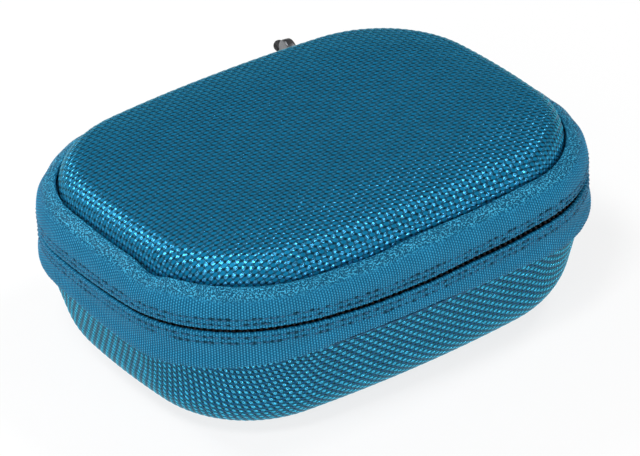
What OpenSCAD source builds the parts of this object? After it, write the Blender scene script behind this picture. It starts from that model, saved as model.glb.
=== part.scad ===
// Zipped hard case for earbuds: two moulded foam shells covered in coarse woven nylon,
// joined all round by a zip band with a cloth hinge in the middle of the back.
// Millimetres. The origin is the centre of the underside, +Z is up, the front faces -Y.

/* [Case] */
// Length over the zip band, left to right
case_length = 100; // [96:1:130]
// Width over the zip band, front to back
case_width = 77.5; // [74:0.5:100]
// Radius of the four corners, seen from above
corner_radius = 30; // [28:0.5:33]

/* [Heights] */
// Height of the line where the zip closes
slit_height = 26; // [24:0.5:34]
// Height of the whole closed case
case_height = 40.1; // [39:0.1:46]
// Height of the zip band above the slit
upper_band_height = 7.8; // [7:0.1:9]
// Height of the zip band below the slit
lower_band_height = 6.7; // [6:0.1:8]

/* [Base shell] */
// Lean of the base wall, in degrees
base_wall_lean = 15; // [8:1:18]
// Radius between the base wall and the underside
bottom_radius = 13; // [9:0.5:14]
// Inset of the base cover under the zip band
base_wall_inset = 0.95; // [0.9:0.05:1.6]

/* [Lid dome] */
// Lean of the dome wall, in degrees
dome_wall_lean = 4; // [2:1:8]
// Radius of the dome's shoulder
shoulder_radius = 5; // [4.6:0.1:7]
// Radius of the gentle crown inside the shoulder
crown_radius = 80; // [60:5:85]
// Slope where the shoulder turns into the crown, in degrees
crown_angle = 10.5; // [8:0.5:11]
// Width of the dark groove between the dome and the zip band
groove_width = 0.6; // [0.4:0.1:1.2]

/* [Layers] */
// Thickness of the woven cover
cover_thickness = 0.8; // [0.5:0.1:1]
// Thickness of the moulded foam
foam_thickness = 3; // [2:0.1:3.2]
// Thickness of the knitted lining
lining_thickness = 0.6; // [0.4:0.1:0.8]
// Thickness of the binding sewn over each foam rim
binding_thickness = 0.6; // [0.4:0.1:0.8]

/* [Zip band] */
// Thickness of the zip tape with its backing
tape_thickness = 0.9; // [0.6:0.1:0.9]
// Radius of the rolled upper edge of the band
roll_radius = 4.4; // [3.8:0.1:5]
// How far the hem at the lower edge stands proud
hem_proud = 0.25; // [0.1:0.05:0.4]
// Gap between the two tapes when the zip is shut
slit_gap = 0.3; // [0.2:0.05:0.4]
// Radius of the nylon coil behind each tape
coil_radius = 0.85; // [0.6:0.05:0.9]
// Distance from the slit to the first row of stitches
stitch_row_offset = 1.3; // [1:0.1:1.6]
// Distance between the two rows of stitches
stitch_row_pitch = 1.1; // [0.8:0.1:1.4]
// Width of the sewing thread
thread_width = 0.3; // [0.2:0.05:0.4]
// Distance from the slit to the binding of each rim
rim_distance = 4.9; // [4.9:0.1:5.4]

/* [Hinge] */
// Half length of the cloth strip at the back, which holds both ends of the zip
strip_half_length = 37; // [36:0.5:38]
// Half length of the part of the strip where the cloth is sewn shut
hinge_half_length = 18.5; // [17:0.5:19]
// Thickness of the lining strip inside the hinge
hinge_lining_thickness = 0.5; // [0.3:0.1:0.8]
// Height of the slot that the slider's post runs in
post_slot_height = 1.5; // [1.4:0.1:1.8]
// Gap between parts that move past each other
running_gap = 0.3; // [0.25:0.05:0.4]

/* [Slider] */
// Turn of the parked slider round the corner, in degrees from the back
slider_angle = 11; // [10:0.5:12]
// Length of the slider along the zip
slider_length = 8.6; // [8:0.1:9.5]
// Width of the slider across the zip
slider_width = 8.4; // [7.6:0.1:8.6]
// Thickness of each slider plate
plate_thickness = 1; // [0.8:0.1:1.2]
// Length of the post that joins the plates
post_length = 1.5; // [1:0.1:1.8]
// Outer radius of the bridge round the pull's axle
bridge_radius = 2.1; // [1.9:0.1:2.3]
// Width of the bridge across the zip
bridge_width = 2.2; // [1.8:0.1:2.6]

/* [Pull] */
// Radius of the pull's axle
axle_radius = 0.7; // [0.6:0.05:0.8]
// Distance from the axle to the middle of the pull's eye plate
pull_length = 6.1; // [5.6:0.1:8]
// Radius of the eye plate
eye_radius = 3.5; // [3:0.1:3.6]
// Thickness of the eye plate
eye_thickness = 1.8; // [1.4:0.1:2]
// Width of each arm beside the bridge
arm_width = 1.1; // [0.9:0.1:1.3]
// Radius of the rubber tail
tail_radius = 1.15; // [0.9:0.05:1.3]
// Length of the rubber tail that shows beyond the eye plate
tail_length = 2.6; // [2:0.1:6]

/* [Lid pocket] */
// Thickness of the pocket's net
net_thickness = 0.4; // [0.3:0.1:0.6]
// Gap between the net and the lid's ceiling at the walls
pocket_depth = 1.9; // [1.5:0.1:2.2]
// Distance of the pocket's mouth from the centre line, towards the front
pocket_mouth = 12; // [6:1:16]
// Width of the elastic along the mouth
elastic_width = 4; // [3:0.5:6]
// Thickness of the elastic
elastic_thickness = 1.1; // [0.8:0.1:1.2]

/* [Hidden] */

cover_color = "#1c678a";
tape_color = "#267ca8";
thread_color = "#1a5674";
foam_color = "#2b2e31";
lining_color = "#1e2124";
metal_color = "#5c5e60";
rubber_color = "#141414";

ARC_STEPS = 6;        // chords in each rounded stretch of a cross-section
CROWN_STEPS = 4;      // chords in the crown
BEAD_STEPS = 8;       // chords in the round side of a coil
SWEEP_FN = 180;       // facets of a full turn when a cross-section is swept round a corner
ROUND_FN = 48;

// Plan of the band: four quarter turns and four straight sides.
half_length = case_length / 2;
half_width = case_width / 2;
fuse = 0.1;           // how far joined bodies of one piece run into each other
corner_x = half_length - corner_radius;
corner_y = half_width - corner_radius;

// Heights of the two rims and of the band's edges.
upper_rim = slit_height + rim_distance;
lower_rim = slit_height - rim_distance;
upper_foam_edge = upper_rim + binding_thickness;
lower_foam_edge = lower_rim - binding_thickness;
band_top = slit_height + upper_band_height;
band_bottom = slit_height - lower_band_height;
roll_center = band_top - roll_radius;
roll_end = 80;        // degrees of the rolled edge

// The dome's wall, shoulder and crown, which every layer of the lid repeats.
dome_inset = roll_radius - (roll_radius - tape_thickness) * cos(roll_end) + groove_width;
brim_drop = 1.2;      // from the top of the band down to the foot of the groove
brim_play = 0.05;     // between the brim and the tape's inner face
brim_top = band_top - brim_drop;
brim_depth = tape_thickness + brim_play;
brim_radius = roll_radius - brim_depth;
brim_a0 = asin((upper_foam_edge - roll_center) / brim_radius);
shoulder_z = case_height - crown_radius + (crown_radius - shoulder_radius) * cos(crown_angle);
wall_top_z = shoulder_z + shoulder_radius * sin(dome_wall_lean);
shoulder_inset = dome_inset + tan(dome_wall_lean) * (wall_top_z - brim_top)
    + shoulder_radius * cos(dome_wall_lean);
crown_inset = shoulder_inset + (crown_radius - shoulder_radius) * sin(crown_angle);
crown_z = case_height - crown_radius;

// The base's wall and bottom corner, which every layer of the base repeats.
bottom_inset = base_wall_inset + bottom_radius * cos(base_wall_lean)
    + tan(base_wall_lean) * (lower_foam_edge - bottom_radius * (1 - sin(base_wall_lean)));

core_overlap = 0.4;   // how far a flat centre runs under the swept part round it
lining_depth = cover_thickness + foam_thickness;
inner_depth = lining_depth + lining_thickness;

// The net of the lid's pocket hangs under the ceiling.
net_z = shoulder_z - pocket_depth;

// The hem: heights over the band's lower edge where it starts, stands out fully and turns in.
hem_start = 3.2;
hem_full = 1.4;
hem_turn = 0.3;
seam_height = 0.7;    // of the thread that sews the hem to the base cover

// The zip behind the band.
coil_inner = tape_thickness + 2 * coil_radius;
thread_depth = 0.15;
half_strip = rim_distance - running_gap;
zone_y = 20;          // everything of the hinge lies behind this
stop_length = 1.6;
stop_thickness = 0.5;

// The slider, in its own frame: X along the zip, Y outward from the band's face.
sagitta = corner_radius - sqrt(pow(corner_radius, 2) - pow(slider_length / 2, 2));
plate_trim_radius = 5.25;   // circle that trims the corners of the plates
outer_plate_y = running_gap + thread_depth;
inner_plate_y = -(coil_inner + sagitta + running_gap);
post_width = post_slot_height - 2 * running_gap;
post_setback = 1;           // from the closed end of the plates
rail_thickness = 0.7;
rail_length = 5.2;
rail_z = post_slot_height / 2 + 2 * coil_radius + running_gap;
rail_top_y = -(tape_thickness + 2 * running_gap);
bridge_seat = 0.3;          // metal between the plate and the bore for the axle
axle_play = 0.15;
bridge_foot_y = outer_plate_y + plate_thickness;
axle_y = bridge_foot_y + bridge_seat + axle_play + axle_radius;
arm_z = bridge_width / 2 + running_gap;
arm_end = pull_length - sqrt(pow(eye_radius, 2) - pow(arm_z + arm_width, 2));
tongue_radius = 0.6;
tongue_length = 2.2;

function arc_points(cd, cz, r, a0, a1, steps = ARC_STEPS) =
    [for (i = [0:steps]) let (a = a0 + (a1 - a0) * i / steps) [cd + r * cos(a), cz + r * sin(a)]];

// Points of a cross-section are [inset, height], with the inset measured inward from the band.

function base_path(depth) = let (r = bottom_radius - depth)
    concat(
        [[bottom_inset - r * cos(base_wall_lean)
            - tan(base_wall_lean) * (lower_foam_edge - bottom_radius + r * sin(base_wall_lean)),
          lower_foam_edge]],
        arc_points(bottom_inset, bottom_radius, r, 180 + base_wall_lean, 270),
        [[bottom_inset + core_overlap, depth]]);

function dome_path(depth, foot_z) = let (rs = shoulder_radius - depth, rc = crown_radius - depth)
    concat(
        [[shoulder_inset - rs * cos(dome_wall_lean)
            - tan(dome_wall_lean) * (shoulder_z + rs * sin(dome_wall_lean) - foot_z), foot_z]],
        arc_points(shoulder_inset, shoulder_z, rs, 180 - dome_wall_lean, 90 + crown_angle),
        arc_points(crown_inset, crown_z, rc, 90 + crown_angle * (1 - 1 / CROWN_STEPS), 90,
                   CROWN_STEPS - 1),
        [[crown_inset + core_overlap, case_height - depth]]);

function reversed(list) = [for (i = [len(list) - 1:-1:0]) list[i]];

function shell(outer, inner) = concat(outer, reversed(inner));

function strip(d0, d1, z0, z1) = [[d0, z0], [d1, z0], [d1, z1], [d0, z1]];

function rolled_edge(depth, a0, a1) =
    arc_points(roll_radius, roll_center, roll_radius - depth, 180 - a0, 180 - a1);

function bead(z) = concat(
    [[tape_thickness, z - coil_radius], [tape_thickness, z + coil_radius]],
    arc_points(tape_thickness + coil_radius, z, coil_radius, 90, -90, BEAD_STEPS));

// Height of a row of stitches, above (1) or below (-1) the slit.
function stitch_z(side, row) = slit_height + side * (stitch_row_offset + row * stitch_row_pitch);

// Cross-section of a row of thread on the face of a tape.
function stitch_section(z) = strip(-thread_depth, 0, z - thread_width / 2, z + thread_width / 2);

// The plan drawn in by an inset.
module plan(inset) {
    square([2 * corner_x, 2 * (half_width - inset)], center = true);
    square([2 * (half_length - inset), 2 * corner_y], center = true);
    for (x = [-corner_x, corner_x], y = [-corner_y, corner_y])
        translate([x, y])
            circle(r = corner_radius - inset, $fn = SWEEP_FN);
}

// A cross-section, drawn at its distance from the middle of a corner.
module section_shape(section) {
    polygon([for (p = section) [corner_radius - p[0], p[1]]]);
}

// One corner, turned by a number of quarters, and the straight side that leads up to it.
module corner_and_side(section, quarter) {
    side_length = quarter % 2 == 0 ? 2 * corner_y : 2 * corner_x;
    x = quarter == 0 || quarter == 3 ? corner_x : -corner_x;
    y = quarter < 2 ? corner_y : -corner_y;
    translate([x, y, 0])
        rotate([0, 0, 90 * quarter]) {
            rotate_extrude(angle = 90, $fn = SWEEP_FN)
                section_shape(section);
            rotate([90, 0, 0])
                linear_extrude(side_length)
                    section_shape(section);
        }
}

// Sweeps one cross-section all the way round the plan.
module ring(section) {
    union() {
        for (quarter = [0:3])
            corner_and_side(section, quarter);
    }
}

// Sweeps one cross-section along the back only, as far as the strip reaches.
module back_ring(section, reach) {
    intersection() {
        union() {
            corner_and_side(section, 0);
            corner_and_side(section, 1);
        }
        translate([-reach, zone_y, 0])
            cube([2 * reach, half_width, case_height]);
    }
}

// Space kept free at the back for the strip, between two heights.
module hinge_zone(z0, z1) {
    reach = strip_half_length + running_gap;
    translate([-reach, zone_y - running_gap, z0])
        cube([2 * reach, half_width, z1 - z0]);
}

module base_layer(depth, thickness) {
    ring(shell(base_path(depth), base_path(depth + thickness)));
    translate([0, 0, depth])
        linear_extrude(thickness)
            plan(bottom_inset);
}

module base_cover() {
    color(cover_color) base_layer(0, cover_thickness);
}

module base_foam_shell() {
    color(foam_color) base_layer(cover_thickness, foam_thickness);
}

module base_lining() {
    color(lining_color) base_layer(lining_depth, lining_thickness);
}

module base_binding() {
    color(tape_color)
        ring(strip(base_wall_inset, base_path(inner_depth)[0][0], lower_foam_edge, lower_rim));
}

module base_zip_tape() {
    top = slit_height - slit_gap / 2;
    color(tape_color)
        difference() {
            ring([[0, top], [0, band_bottom + hem_start], [-hem_proud, band_bottom + hem_full],
                  [-hem_proud, band_bottom + hem_turn], [0, band_bottom],
                  [tape_thickness, band_bottom], [tape_thickness, top]]);
            hinge_zone(lower_rim, slit_height);
        }
}

module base_coil() {
    color(foam_color)
        difference() {
            ring(bead(slit_height - slit_gap / 2 - coil_radius));
            hinge_zone(lower_rim, slit_height);
        }
}

// The two rows that sew one tape to its coil.
module stitch_rows(side) {
    for (row = [0, 1])
        ring(stitch_section(stitch_z(side, row)));
}

module base_coil_stitching() {
    color(thread_color)
        difference() {
            stitch_rows(-1);
            hinge_zone(lower_rim, slit_height);
        }
}

module base_seam_thread() {
    z = band_bottom + seam_height;
    color(thread_color)
        ring(strip(tape_thickness, base_path(0)[0][0], z, z + thread_width));
}

module lid_layer(depth, thickness, foot_z) {
    ring(shell(dome_path(depth, foot_z), dome_path(depth + thickness, foot_z)));
    translate([0, 0, case_height - depth - thickness])
        linear_extrude(thickness)
            plan(crown_inset);
}

module lid_cover() {
    color(cover_color) lid_layer(0, cover_thickness, brim_top);
}

// The lid's foam has a thin brim, which the rolled edge of the band is sewn to.
module lid_foam_shell() {
    outer = dome_path(cover_thickness, brim_top);
    inner = dome_path(lining_depth, upper_foam_edge);
    brim_a1 = asin((brim_top - roll_center) / brim_radius);
    color(foam_color) {
        ring(shell(concat(rolled_edge(brim_depth, brim_a0, brim_a1), outer), inner));
        translate([0, 0, case_height - lining_depth])
            linear_extrude(foam_thickness)
                plan(crown_inset);
    }
}

module lid_lining() {
    color(lining_color) lid_layer(lining_depth, lining_thickness, upper_foam_edge);
}

module lid_binding() {
    color(tape_color)
        ring(strip(roll_radius - brim_radius * cos(brim_a0), dome_path(inner_depth, upper_rim)[0][0],
                   upper_rim, upper_foam_edge));
}

module lid_zip_tape() {
    bottom = slit_height + slit_gap / 2;
    color(tape_color)
        difference() {
            ring(concat([[0, bottom]], rolled_edge(0, 0, roll_end),
                        rolled_edge(tape_thickness, roll_end, 0), [[tape_thickness, bottom]]));
            hinge_zone(slit_height, upper_rim);
        }
}

module lid_coil() {
    color(foam_color)
        difference() {
            ring(bead(slit_height + slit_gap / 2 + coil_radius));
            hinge_zone(slit_height, upper_rim);
        }
}

module lid_coil_stitching() {
    color(thread_color)
        difference() {
            stitch_rows(1);
            hinge_zone(slit_height, upper_rim);
        }
}

// The seam at the foot of the groove holds the dome's cover to the brim.
module lid_seam_thread() {
    color(thread_color)
        ring(strip(dome_inset - thread_width, dome_inset, brim_top, brim_top + thread_width));
}

module lid_pocket_net() {
    color(lining_color)
        translate([0, 0, net_z])
            linear_extrude(net_thickness)
                intersection() {
                    plan(dome_path(inner_depth, net_z + net_thickness)[0][0]);
                    translate([-half_length, -pocket_mouth])
                        square([case_length, case_width]);
                }
}

module lid_pocket_elastic() {
    color(tape_color)
        translate([0, 0, net_z - elastic_thickness])
            linear_extrude(elastic_thickness)
                intersection() {
                    plan(dome_path(inner_depth, net_z)[0][0]);
                    translate([-half_length, -pocket_mouth - elastic_width])
                        square([case_length, elastic_width]);
                }
}

// The strip is slit at both ends, where the zip runs on past the sewn stretch.
module hinge_strip() {
    color(tape_color)
        difference() {
            back_ring(strip(0, tape_thickness, slit_height - half_strip, slit_height + half_strip),
                      strip_half_length);
            for (side = [0, 1])
                mirror([side, 0, 0])
                    translate([hinge_half_length, zone_y, slit_height - post_slot_height / 2])
                        cube([half_length, half_width, post_slot_height]);
        }
}

module hinge_lining() {
    color(lining_color)
        back_ring(strip(tape_thickness, tape_thickness + hinge_lining_thickness,
                        slit_height - half_strip, slit_height + half_strip),
                  hinge_half_length - running_gap);
}

module hinge_stitching() {
    color(thread_color)
        for (side = [-1, 1], row = [0, 1])
            back_ring(stitch_section(stitch_z(side, row)), strip_half_length);
}

module zip_end_coils() {
    color(foam_color)
        difference() {
            for (side = [-1, 1])
                back_ring(bead(slit_height + side * (post_slot_height / 2 + coil_radius)),
                          strip_half_length);
            translate([-hinge_half_length, zone_y, 0])
                cube([2 * hinge_half_length, half_width, case_height]);
        }
}

// Each stop is a bar across both coils, where the sewn stretch begins.
module zip_stops() {
    stop_height = post_slot_height + 4 * coil_radius;
    color(metal_color)
        intersection() {
            back_ring(strip(coil_inner, coil_inner + stop_thickness, slit_height - stop_height / 2,
                            slit_height + stop_height / 2), strip_half_length);
            for (side = [0, 1])
                mirror([side, 0, 0])
                    translate([hinge_half_length, zone_y, 0])
                        cube([stop_length, half_width, case_height]);
        }
}

// Puts the slider's own frame on the band at the parked place.
module at_slider() {
    translate([corner_x, corner_y, slit_height])
        rotate([0, 0, -slider_angle])
            translate([0, corner_radius, 0])
                children();
}

// One slider plate: a square with rounded corners, standing in the plane of the tape.
module slider_plate(y) {
    translate([0, y + plate_thickness, 0])
        rotate([90, 0, 0])
            linear_extrude(plate_thickness)
                intersection() {
                    square([slider_length, slider_width], center = true);
                    circle(r = plate_trim_radius, $fn = ROUND_FN);
                }
}

// Two plates, the post between them and the rails that hold the coils together.
module slider_body() {
    post_x = post_setback - slider_length / 2;
    color(metal_color)
        at_slider() {
            slider_plate(outer_plate_y);
            slider_plate(inner_plate_y - plate_thickness);
            translate([post_x, inner_plate_y - plate_thickness / 2, -post_width / 2])
                cube([post_length, outer_plate_y - inner_plate_y + plate_thickness, post_width]);
            for (side = [-1, 1])
                translate([-rail_length / 2, inner_plate_y - fuse,
                           side * (rail_z + rail_thickness / 2) - rail_thickness / 2])
                    cube([rail_length, rail_top_y - inner_plate_y + fuse, rail_thickness]);
        }
}

module slider_bridge() {
    color(metal_color)
        at_slider()
            translate([0, 0, -bridge_width / 2])
                linear_extrude(bridge_width)
                    difference() {
                        union() {
                            translate([0, axle_y])
                                circle(r = bridge_radius, $fn = ROUND_FN);
                            translate([-bridge_radius, bridge_foot_y])
                                square([2 * bridge_radius, axle_y - bridge_foot_y]);
                        }
                        translate([0, axle_y])
                            circle(r = axle_radius + axle_play, $fn = ROUND_FN);
                        translate([-half_length, bridge_foot_y - half_width])
                            square([case_length, half_width]);
                    }
}

// The pull: an axle under the bridge, two arms beside it and a round eye plate.
module pull_link() {
    color(metal_color)
        at_slider()
            translate([0, axle_y, 0]) {
                cylinder(r = axle_radius, h = 2 * (arm_z + arm_width), center = true,
                         $fn = ROUND_FN);
                for (side = [-1, 1])
                    translate([-axle_radius, 0, side * (arm_z + arm_width / 2) - arm_width / 2])
                        cube([2 * axle_radius, arm_end, arm_width]);
                difference() {
                    translate([0, pull_length, 0])
                        rotate([0, 90, 0])
                            cylinder(r = eye_radius, h = eye_thickness, center = true,
                                     $fn = ROUND_FN);
                    cylinder(r = bridge_radius + running_gap, h = 3 * eye_radius, center = true,
                             $fn = ROUND_FN);
                    translate([0, pull_length + eye_radius - tongue_length, 0])
                        rotate([-90, 0, 0])
                            cylinder(r = tongue_radius, h = tongue_length + eye_radius,
                                     $fn = ROUND_FN);
                }
            }
}

// The tail is rooted in a hole in the eye plate's rim.
module pull_tail() {
    color(rubber_color)
        at_slider()
            translate([0, axle_y + pull_length + eye_radius, 0])
                rotate([-90, 0, 0]) {
                    translate([0, 0, -tongue_length])
                        cylinder(r = tongue_radius, h = tongue_length + tail_radius,
                                 $fn = ROUND_FN);
                    cylinder(r = tail_radius, h = tail_length - tail_radius, $fn = ROUND_FN);
                    translate([0, 0, tail_length - tail_radius])
                        sphere(r = tail_radius, $fn = ROUND_FN);
                }
}

base_cover();
base_foam_shell();
base_lining();
base_binding();
base_zip_tape();
base_coil();
base_coil_stitching();
base_seam_thread();
lid_cover();
lid_foam_shell();
lid_lining();
lid_binding();
lid_zip_tape();
lid_coil();
lid_coil_stitching();
lid_seam_thread();
lid_pocket_net();
lid_pocket_elastic();
hinge_strip();
hinge_lining();
hinge_stitching();
zip_end_coils();
zip_stops();
slider_body();
slider_bridge();
pull_link();
pull_tail();
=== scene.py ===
"""Zipped earbud case: two woven shells, the zip round them, their linings, and the slider's pull.

Lengths are in millimetres until a mesh is made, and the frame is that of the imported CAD: the
origin at the centre of the underside, X along the case, the hinge at +Y, Z up.
"""

import math

import bmesh
import bpy
import numpy as np
from mathutils import Matrix, Vector

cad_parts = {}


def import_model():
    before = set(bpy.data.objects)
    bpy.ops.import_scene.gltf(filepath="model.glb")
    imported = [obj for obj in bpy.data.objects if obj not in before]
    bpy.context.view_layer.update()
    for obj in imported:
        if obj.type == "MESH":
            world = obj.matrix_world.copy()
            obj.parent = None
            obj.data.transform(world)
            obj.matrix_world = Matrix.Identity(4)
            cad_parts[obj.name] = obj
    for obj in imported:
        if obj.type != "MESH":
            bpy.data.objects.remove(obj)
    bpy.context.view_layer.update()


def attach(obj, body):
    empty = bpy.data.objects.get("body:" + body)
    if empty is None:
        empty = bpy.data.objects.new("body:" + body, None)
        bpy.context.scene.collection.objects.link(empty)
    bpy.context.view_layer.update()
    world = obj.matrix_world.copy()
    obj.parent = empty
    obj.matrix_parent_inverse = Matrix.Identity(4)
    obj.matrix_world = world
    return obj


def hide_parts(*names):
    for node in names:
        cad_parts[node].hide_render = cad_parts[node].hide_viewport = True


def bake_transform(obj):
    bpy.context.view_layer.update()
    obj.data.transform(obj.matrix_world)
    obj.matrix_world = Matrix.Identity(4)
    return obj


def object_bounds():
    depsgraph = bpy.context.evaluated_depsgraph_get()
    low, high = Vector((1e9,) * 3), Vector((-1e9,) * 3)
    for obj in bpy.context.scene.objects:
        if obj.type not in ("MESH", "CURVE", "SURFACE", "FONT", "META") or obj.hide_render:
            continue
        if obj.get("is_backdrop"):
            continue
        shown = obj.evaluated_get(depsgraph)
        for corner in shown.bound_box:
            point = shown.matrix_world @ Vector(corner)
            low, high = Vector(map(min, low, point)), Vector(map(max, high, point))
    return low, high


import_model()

MM = 0.001

# Plan of the case: long sides, ends and corners are arcs that run smoothly into each other.
HALF_LENGTH = 50.0
HALF_WIDTH = 38.66
CORNER_RADIUS = 27.84
SIDE_RADIUS = 256.0
END_RADIUS = 168.0

# Heights.
CASE_HEIGHT = 40.1
SLIT_Z = 26.0
BAND_TOP = 33.8
BAND_BOTTOM = 19.3
RIM_DISTANCE = 4.9
UPPER_RIM = SLIT_Z + RIM_DISTANCE
LOWER_RIM = SLIT_Z - RIM_DISTANCE

# Layers.
COVER = 0.8
FOAM = 3.0
LINING = 0.6
BINDING = 0.6
TAPE = 0.9

# The rolled upper edge of the band.
ROLL_RADIUS = 4.4
ROLL_Z = BAND_TOP - ROLL_RADIUS
ROLL_END = math.radians(80)

# The dome's section: wall, shoulder arc and shallow crown.
DOME_INSET = ROLL_RADIUS - (ROLL_RADIUS - TAPE) * math.cos(ROLL_END) + 0.6
DOME_LEAN = math.radians(4)
BRIM_Z = BAND_TOP - 1.2
SHOULDER_RADIUS = 5.0
CROWN_RADIUS = 80.0
CROWN_ANGLE = math.radians(10.5)
SHOULDER_Z = CASE_HEIGHT - CROWN_RADIUS + (CROWN_RADIUS - SHOULDER_RADIUS) * math.cos(CROWN_ANGLE)
SHOULDER_INSET = (DOME_INSET + SHOULDER_RADIUS * math.cos(DOME_LEAN)
                  + math.tan(DOME_LEAN) * (SHOULDER_Z + SHOULDER_RADIUS * math.sin(DOME_LEAN)
                                           - BRIM_Z))
CROWN_INSET = SHOULDER_INSET + (CROWN_RADIUS - SHOULDER_RADIUS) * math.sin(CROWN_ANGLE)

# The base's section: leaning wall and bottom arc.
BASE_LEAN = math.radians(15)
BASE_INSET = 0.95
BOTTOM_RADIUS = 13.0
BASE_TOP = LOWER_RIM - BINDING
BOTTOM_INSET = (BASE_INSET + BOTTOM_RADIUS * math.cos(BASE_LEAN)
                + math.tan(BASE_LEAN) * (BASE_TOP - BOTTOM_RADIUS * (1 - math.sin(BASE_LEAN))))

# The cloth: yarns along Y stand LONG_PITCH apart, yarns along X stand CROSS_PITCH apart.
LONG_PITCH = 1.168
CROSS_PITCH = 0.853
LONG_SKEW = -0.041
CROSS_SKEW = -0.01
WEAVE_RELIEF = 0.12
SAMPLES = 4
SECTION_STEP = 0.1
# Crimp, round part and slimness of a yarn, as shares of the relief.
LONG_YARN = (0.1, 0.32, 2.4)
CROSS_YARN = (0.48, 0.52, 1.9)
YARN_FLATNESS = 2.3

# The zip.
RIB_PITCH = 0.53
KNOT_PITCH = 0.5
STITCH_PITCH = 1.5
STITCH_ROWS = (1.3, 2.4)
RIB_DEPTH = 0.11
HOLE_SIZE = (0.45, 0.24)
HOLE_DEPTH = 0.22
HOLE_JITTER = 0.36
STITCH_LENGTH = (0.75, 1.05)
HINGE_STITCH_LENGTH = (0.8, 1.05)
LOOPS_FROM = 2.6
LOOPS_OVER = 1.4
HEM_PROUD = 0.32
HEM_ROUND = 0.25
THREAD = 0.3
STITCH_INSET = 0.04
COIL_PITCH = 1.25
COIL_RADIUS = 0.85
COIL_WIRE = 0.3
STOP_HALF = (0.85, 2.45)
STOP_THICKNESS = 0.6
HINGE_HALF = 18.5

# The slider's own frame: X along the zip, Y outward, its place as in the CAD.
SLIDER_CORNER = (20.0, 8.75)
SLIDER_ANGLE = math.radians(-11)
SLIDER_RADIUS = 30.0
BESIDE_SLIDER = (18.5, 34.0)

# The back is settled onto the CAD's from this Y on, over this far, and this far past the corner.
SETTLE_FROM = 31.0
SETTLE_OVER = 4.0
SETTLE_REACH = 18.0


# Plan of the case.

def meeting_corner():
    """Centre of the corner arc that touches both the side's and the end's arc."""
    side = np.array((0, HALF_WIDTH - SIDE_RADIUS))
    end = np.array((HALF_LENGTH - END_RADIUS, 0))
    side_reach, end_reach = SIDE_RADIUS - CORNER_RADIUS, END_RADIUS - CORNER_RADIUS
    apart = np.linalg.norm(end - side)
    along = (side_reach ** 2 - end_reach ** 2 + apart ** 2) / (2 * apart)
    line = (end - side) / apart
    off = math.sqrt(side_reach ** 2 - along ** 2)
    return side + along * line + off * np.array((line[1], -line[0]))


CORNER = meeting_corner()
SIDE_SPAN = math.atan2(CORNER[0], CORNER[1] + SIDE_RADIUS - HALF_WIDTH)
END_SPAN = math.atan2(CORNER[1], CORNER[0] + END_RADIUS - HALF_LENGTH)


def plan_arcs():
    """First angle, angle swept, centre and radius of each arc, counterclockwise from the back."""
    arcs = []
    for quarter in range(4):
        angle = math.pi / 2 * (quarter + 1)
        facing = np.array((round(math.cos(angle)), round(math.sin(angle))))
        back_or_front = quarter % 2 == 0
        span, other = (SIDE_SPAN, END_SPAN) if back_or_front else (END_SPAN, SIDE_SPAN)
        radius = SIDE_RADIUS if back_or_front else END_RADIUS
        half = HALF_WIDTH if back_or_front else HALF_LENGTH
        arcs.append((angle - span, 2 * span, facing * (half - radius), radius))
        middle = angle + math.pi / 4
        corner = CORNER * (np.sign(math.cos(middle)), np.sign(math.sin(middle)))
        arcs.append((angle + span, math.pi / 2 - span - other, corner, CORNER_RADIUS))
    return arcs


ARCS = plan_arcs()
ARC_ANGLE = np.array([arc[0] for arc in ARCS])
ARC_CENTRE = np.array([arc[2] for arc in ARCS])
ARC_RADIUS = np.array([arc[3] for arc in ARCS])
ARC_END = np.cumsum([arc[1] * arc[3] for arc in ARCS])
ARC_START = ARC_END - [arc[1] * arc[3] for arc in ARCS]
PERIMETER = float(ARC_END[-1])
BACK_SHIFT = SIDE_SPAN * SIDE_RADIUS
RIB_PITCH_EVEN = PERIMETER / round(PERIMETER / RIB_PITCH)


def plan_at(s):
    """Arc centre, arc radius and outward normal at arclength s from the middle of the back."""
    along = np.mod(s + BACK_SHIFT, PERIMETER)
    k = np.minimum(np.searchsorted(ARC_END, along, side="right"), len(ARCS) - 1)
    angle = ARC_ANGLE[k] + (along - ARC_START[k]) / ARC_RADIUS[k]
    return ARC_CENTRE[k], ARC_RADIUS[k], np.stack((np.cos(angle), np.sin(angle)), -1)


def locate(x, y):
    """Arc centre, normal and inset of points anywhere in the plan."""
    sign = np.stack((np.where(x < 0, -1.0, 1.0), np.where(y < 0, -1.0, 1.0)), -1)
    ax, ay = np.abs(x), np.abs(y)
    on_side = np.arctan2(ax, ay + SIDE_RADIUS - HALF_WIDTH) < SIDE_SPAN
    on_end = ~on_side & (np.arctan2(ay, ax + END_RADIUS - HALF_LENGTH) < END_SPAN)
    centre = np.where(on_side[..., None], (0.0, HALF_WIDTH - SIDE_RADIUS),
                      np.where(on_end[..., None], (HALF_LENGTH - END_RADIUS, 0.0), CORNER))
    radius = np.where(on_side, SIDE_RADIUS, np.where(on_end, END_RADIUS, CORNER_RADIUS))
    away = np.stack((ax, ay), -1) - centre
    distance = np.maximum(np.linalg.norm(away, axis=-1), 1e-9)
    return centre * sign, away / distance[..., None] * sign, radius, radius - distance


def ease(share):
    """A smooth step from 0 to 1."""
    share = np.clip(share, 0, 1)
    return share * share * (3 - 2 * share)


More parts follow.
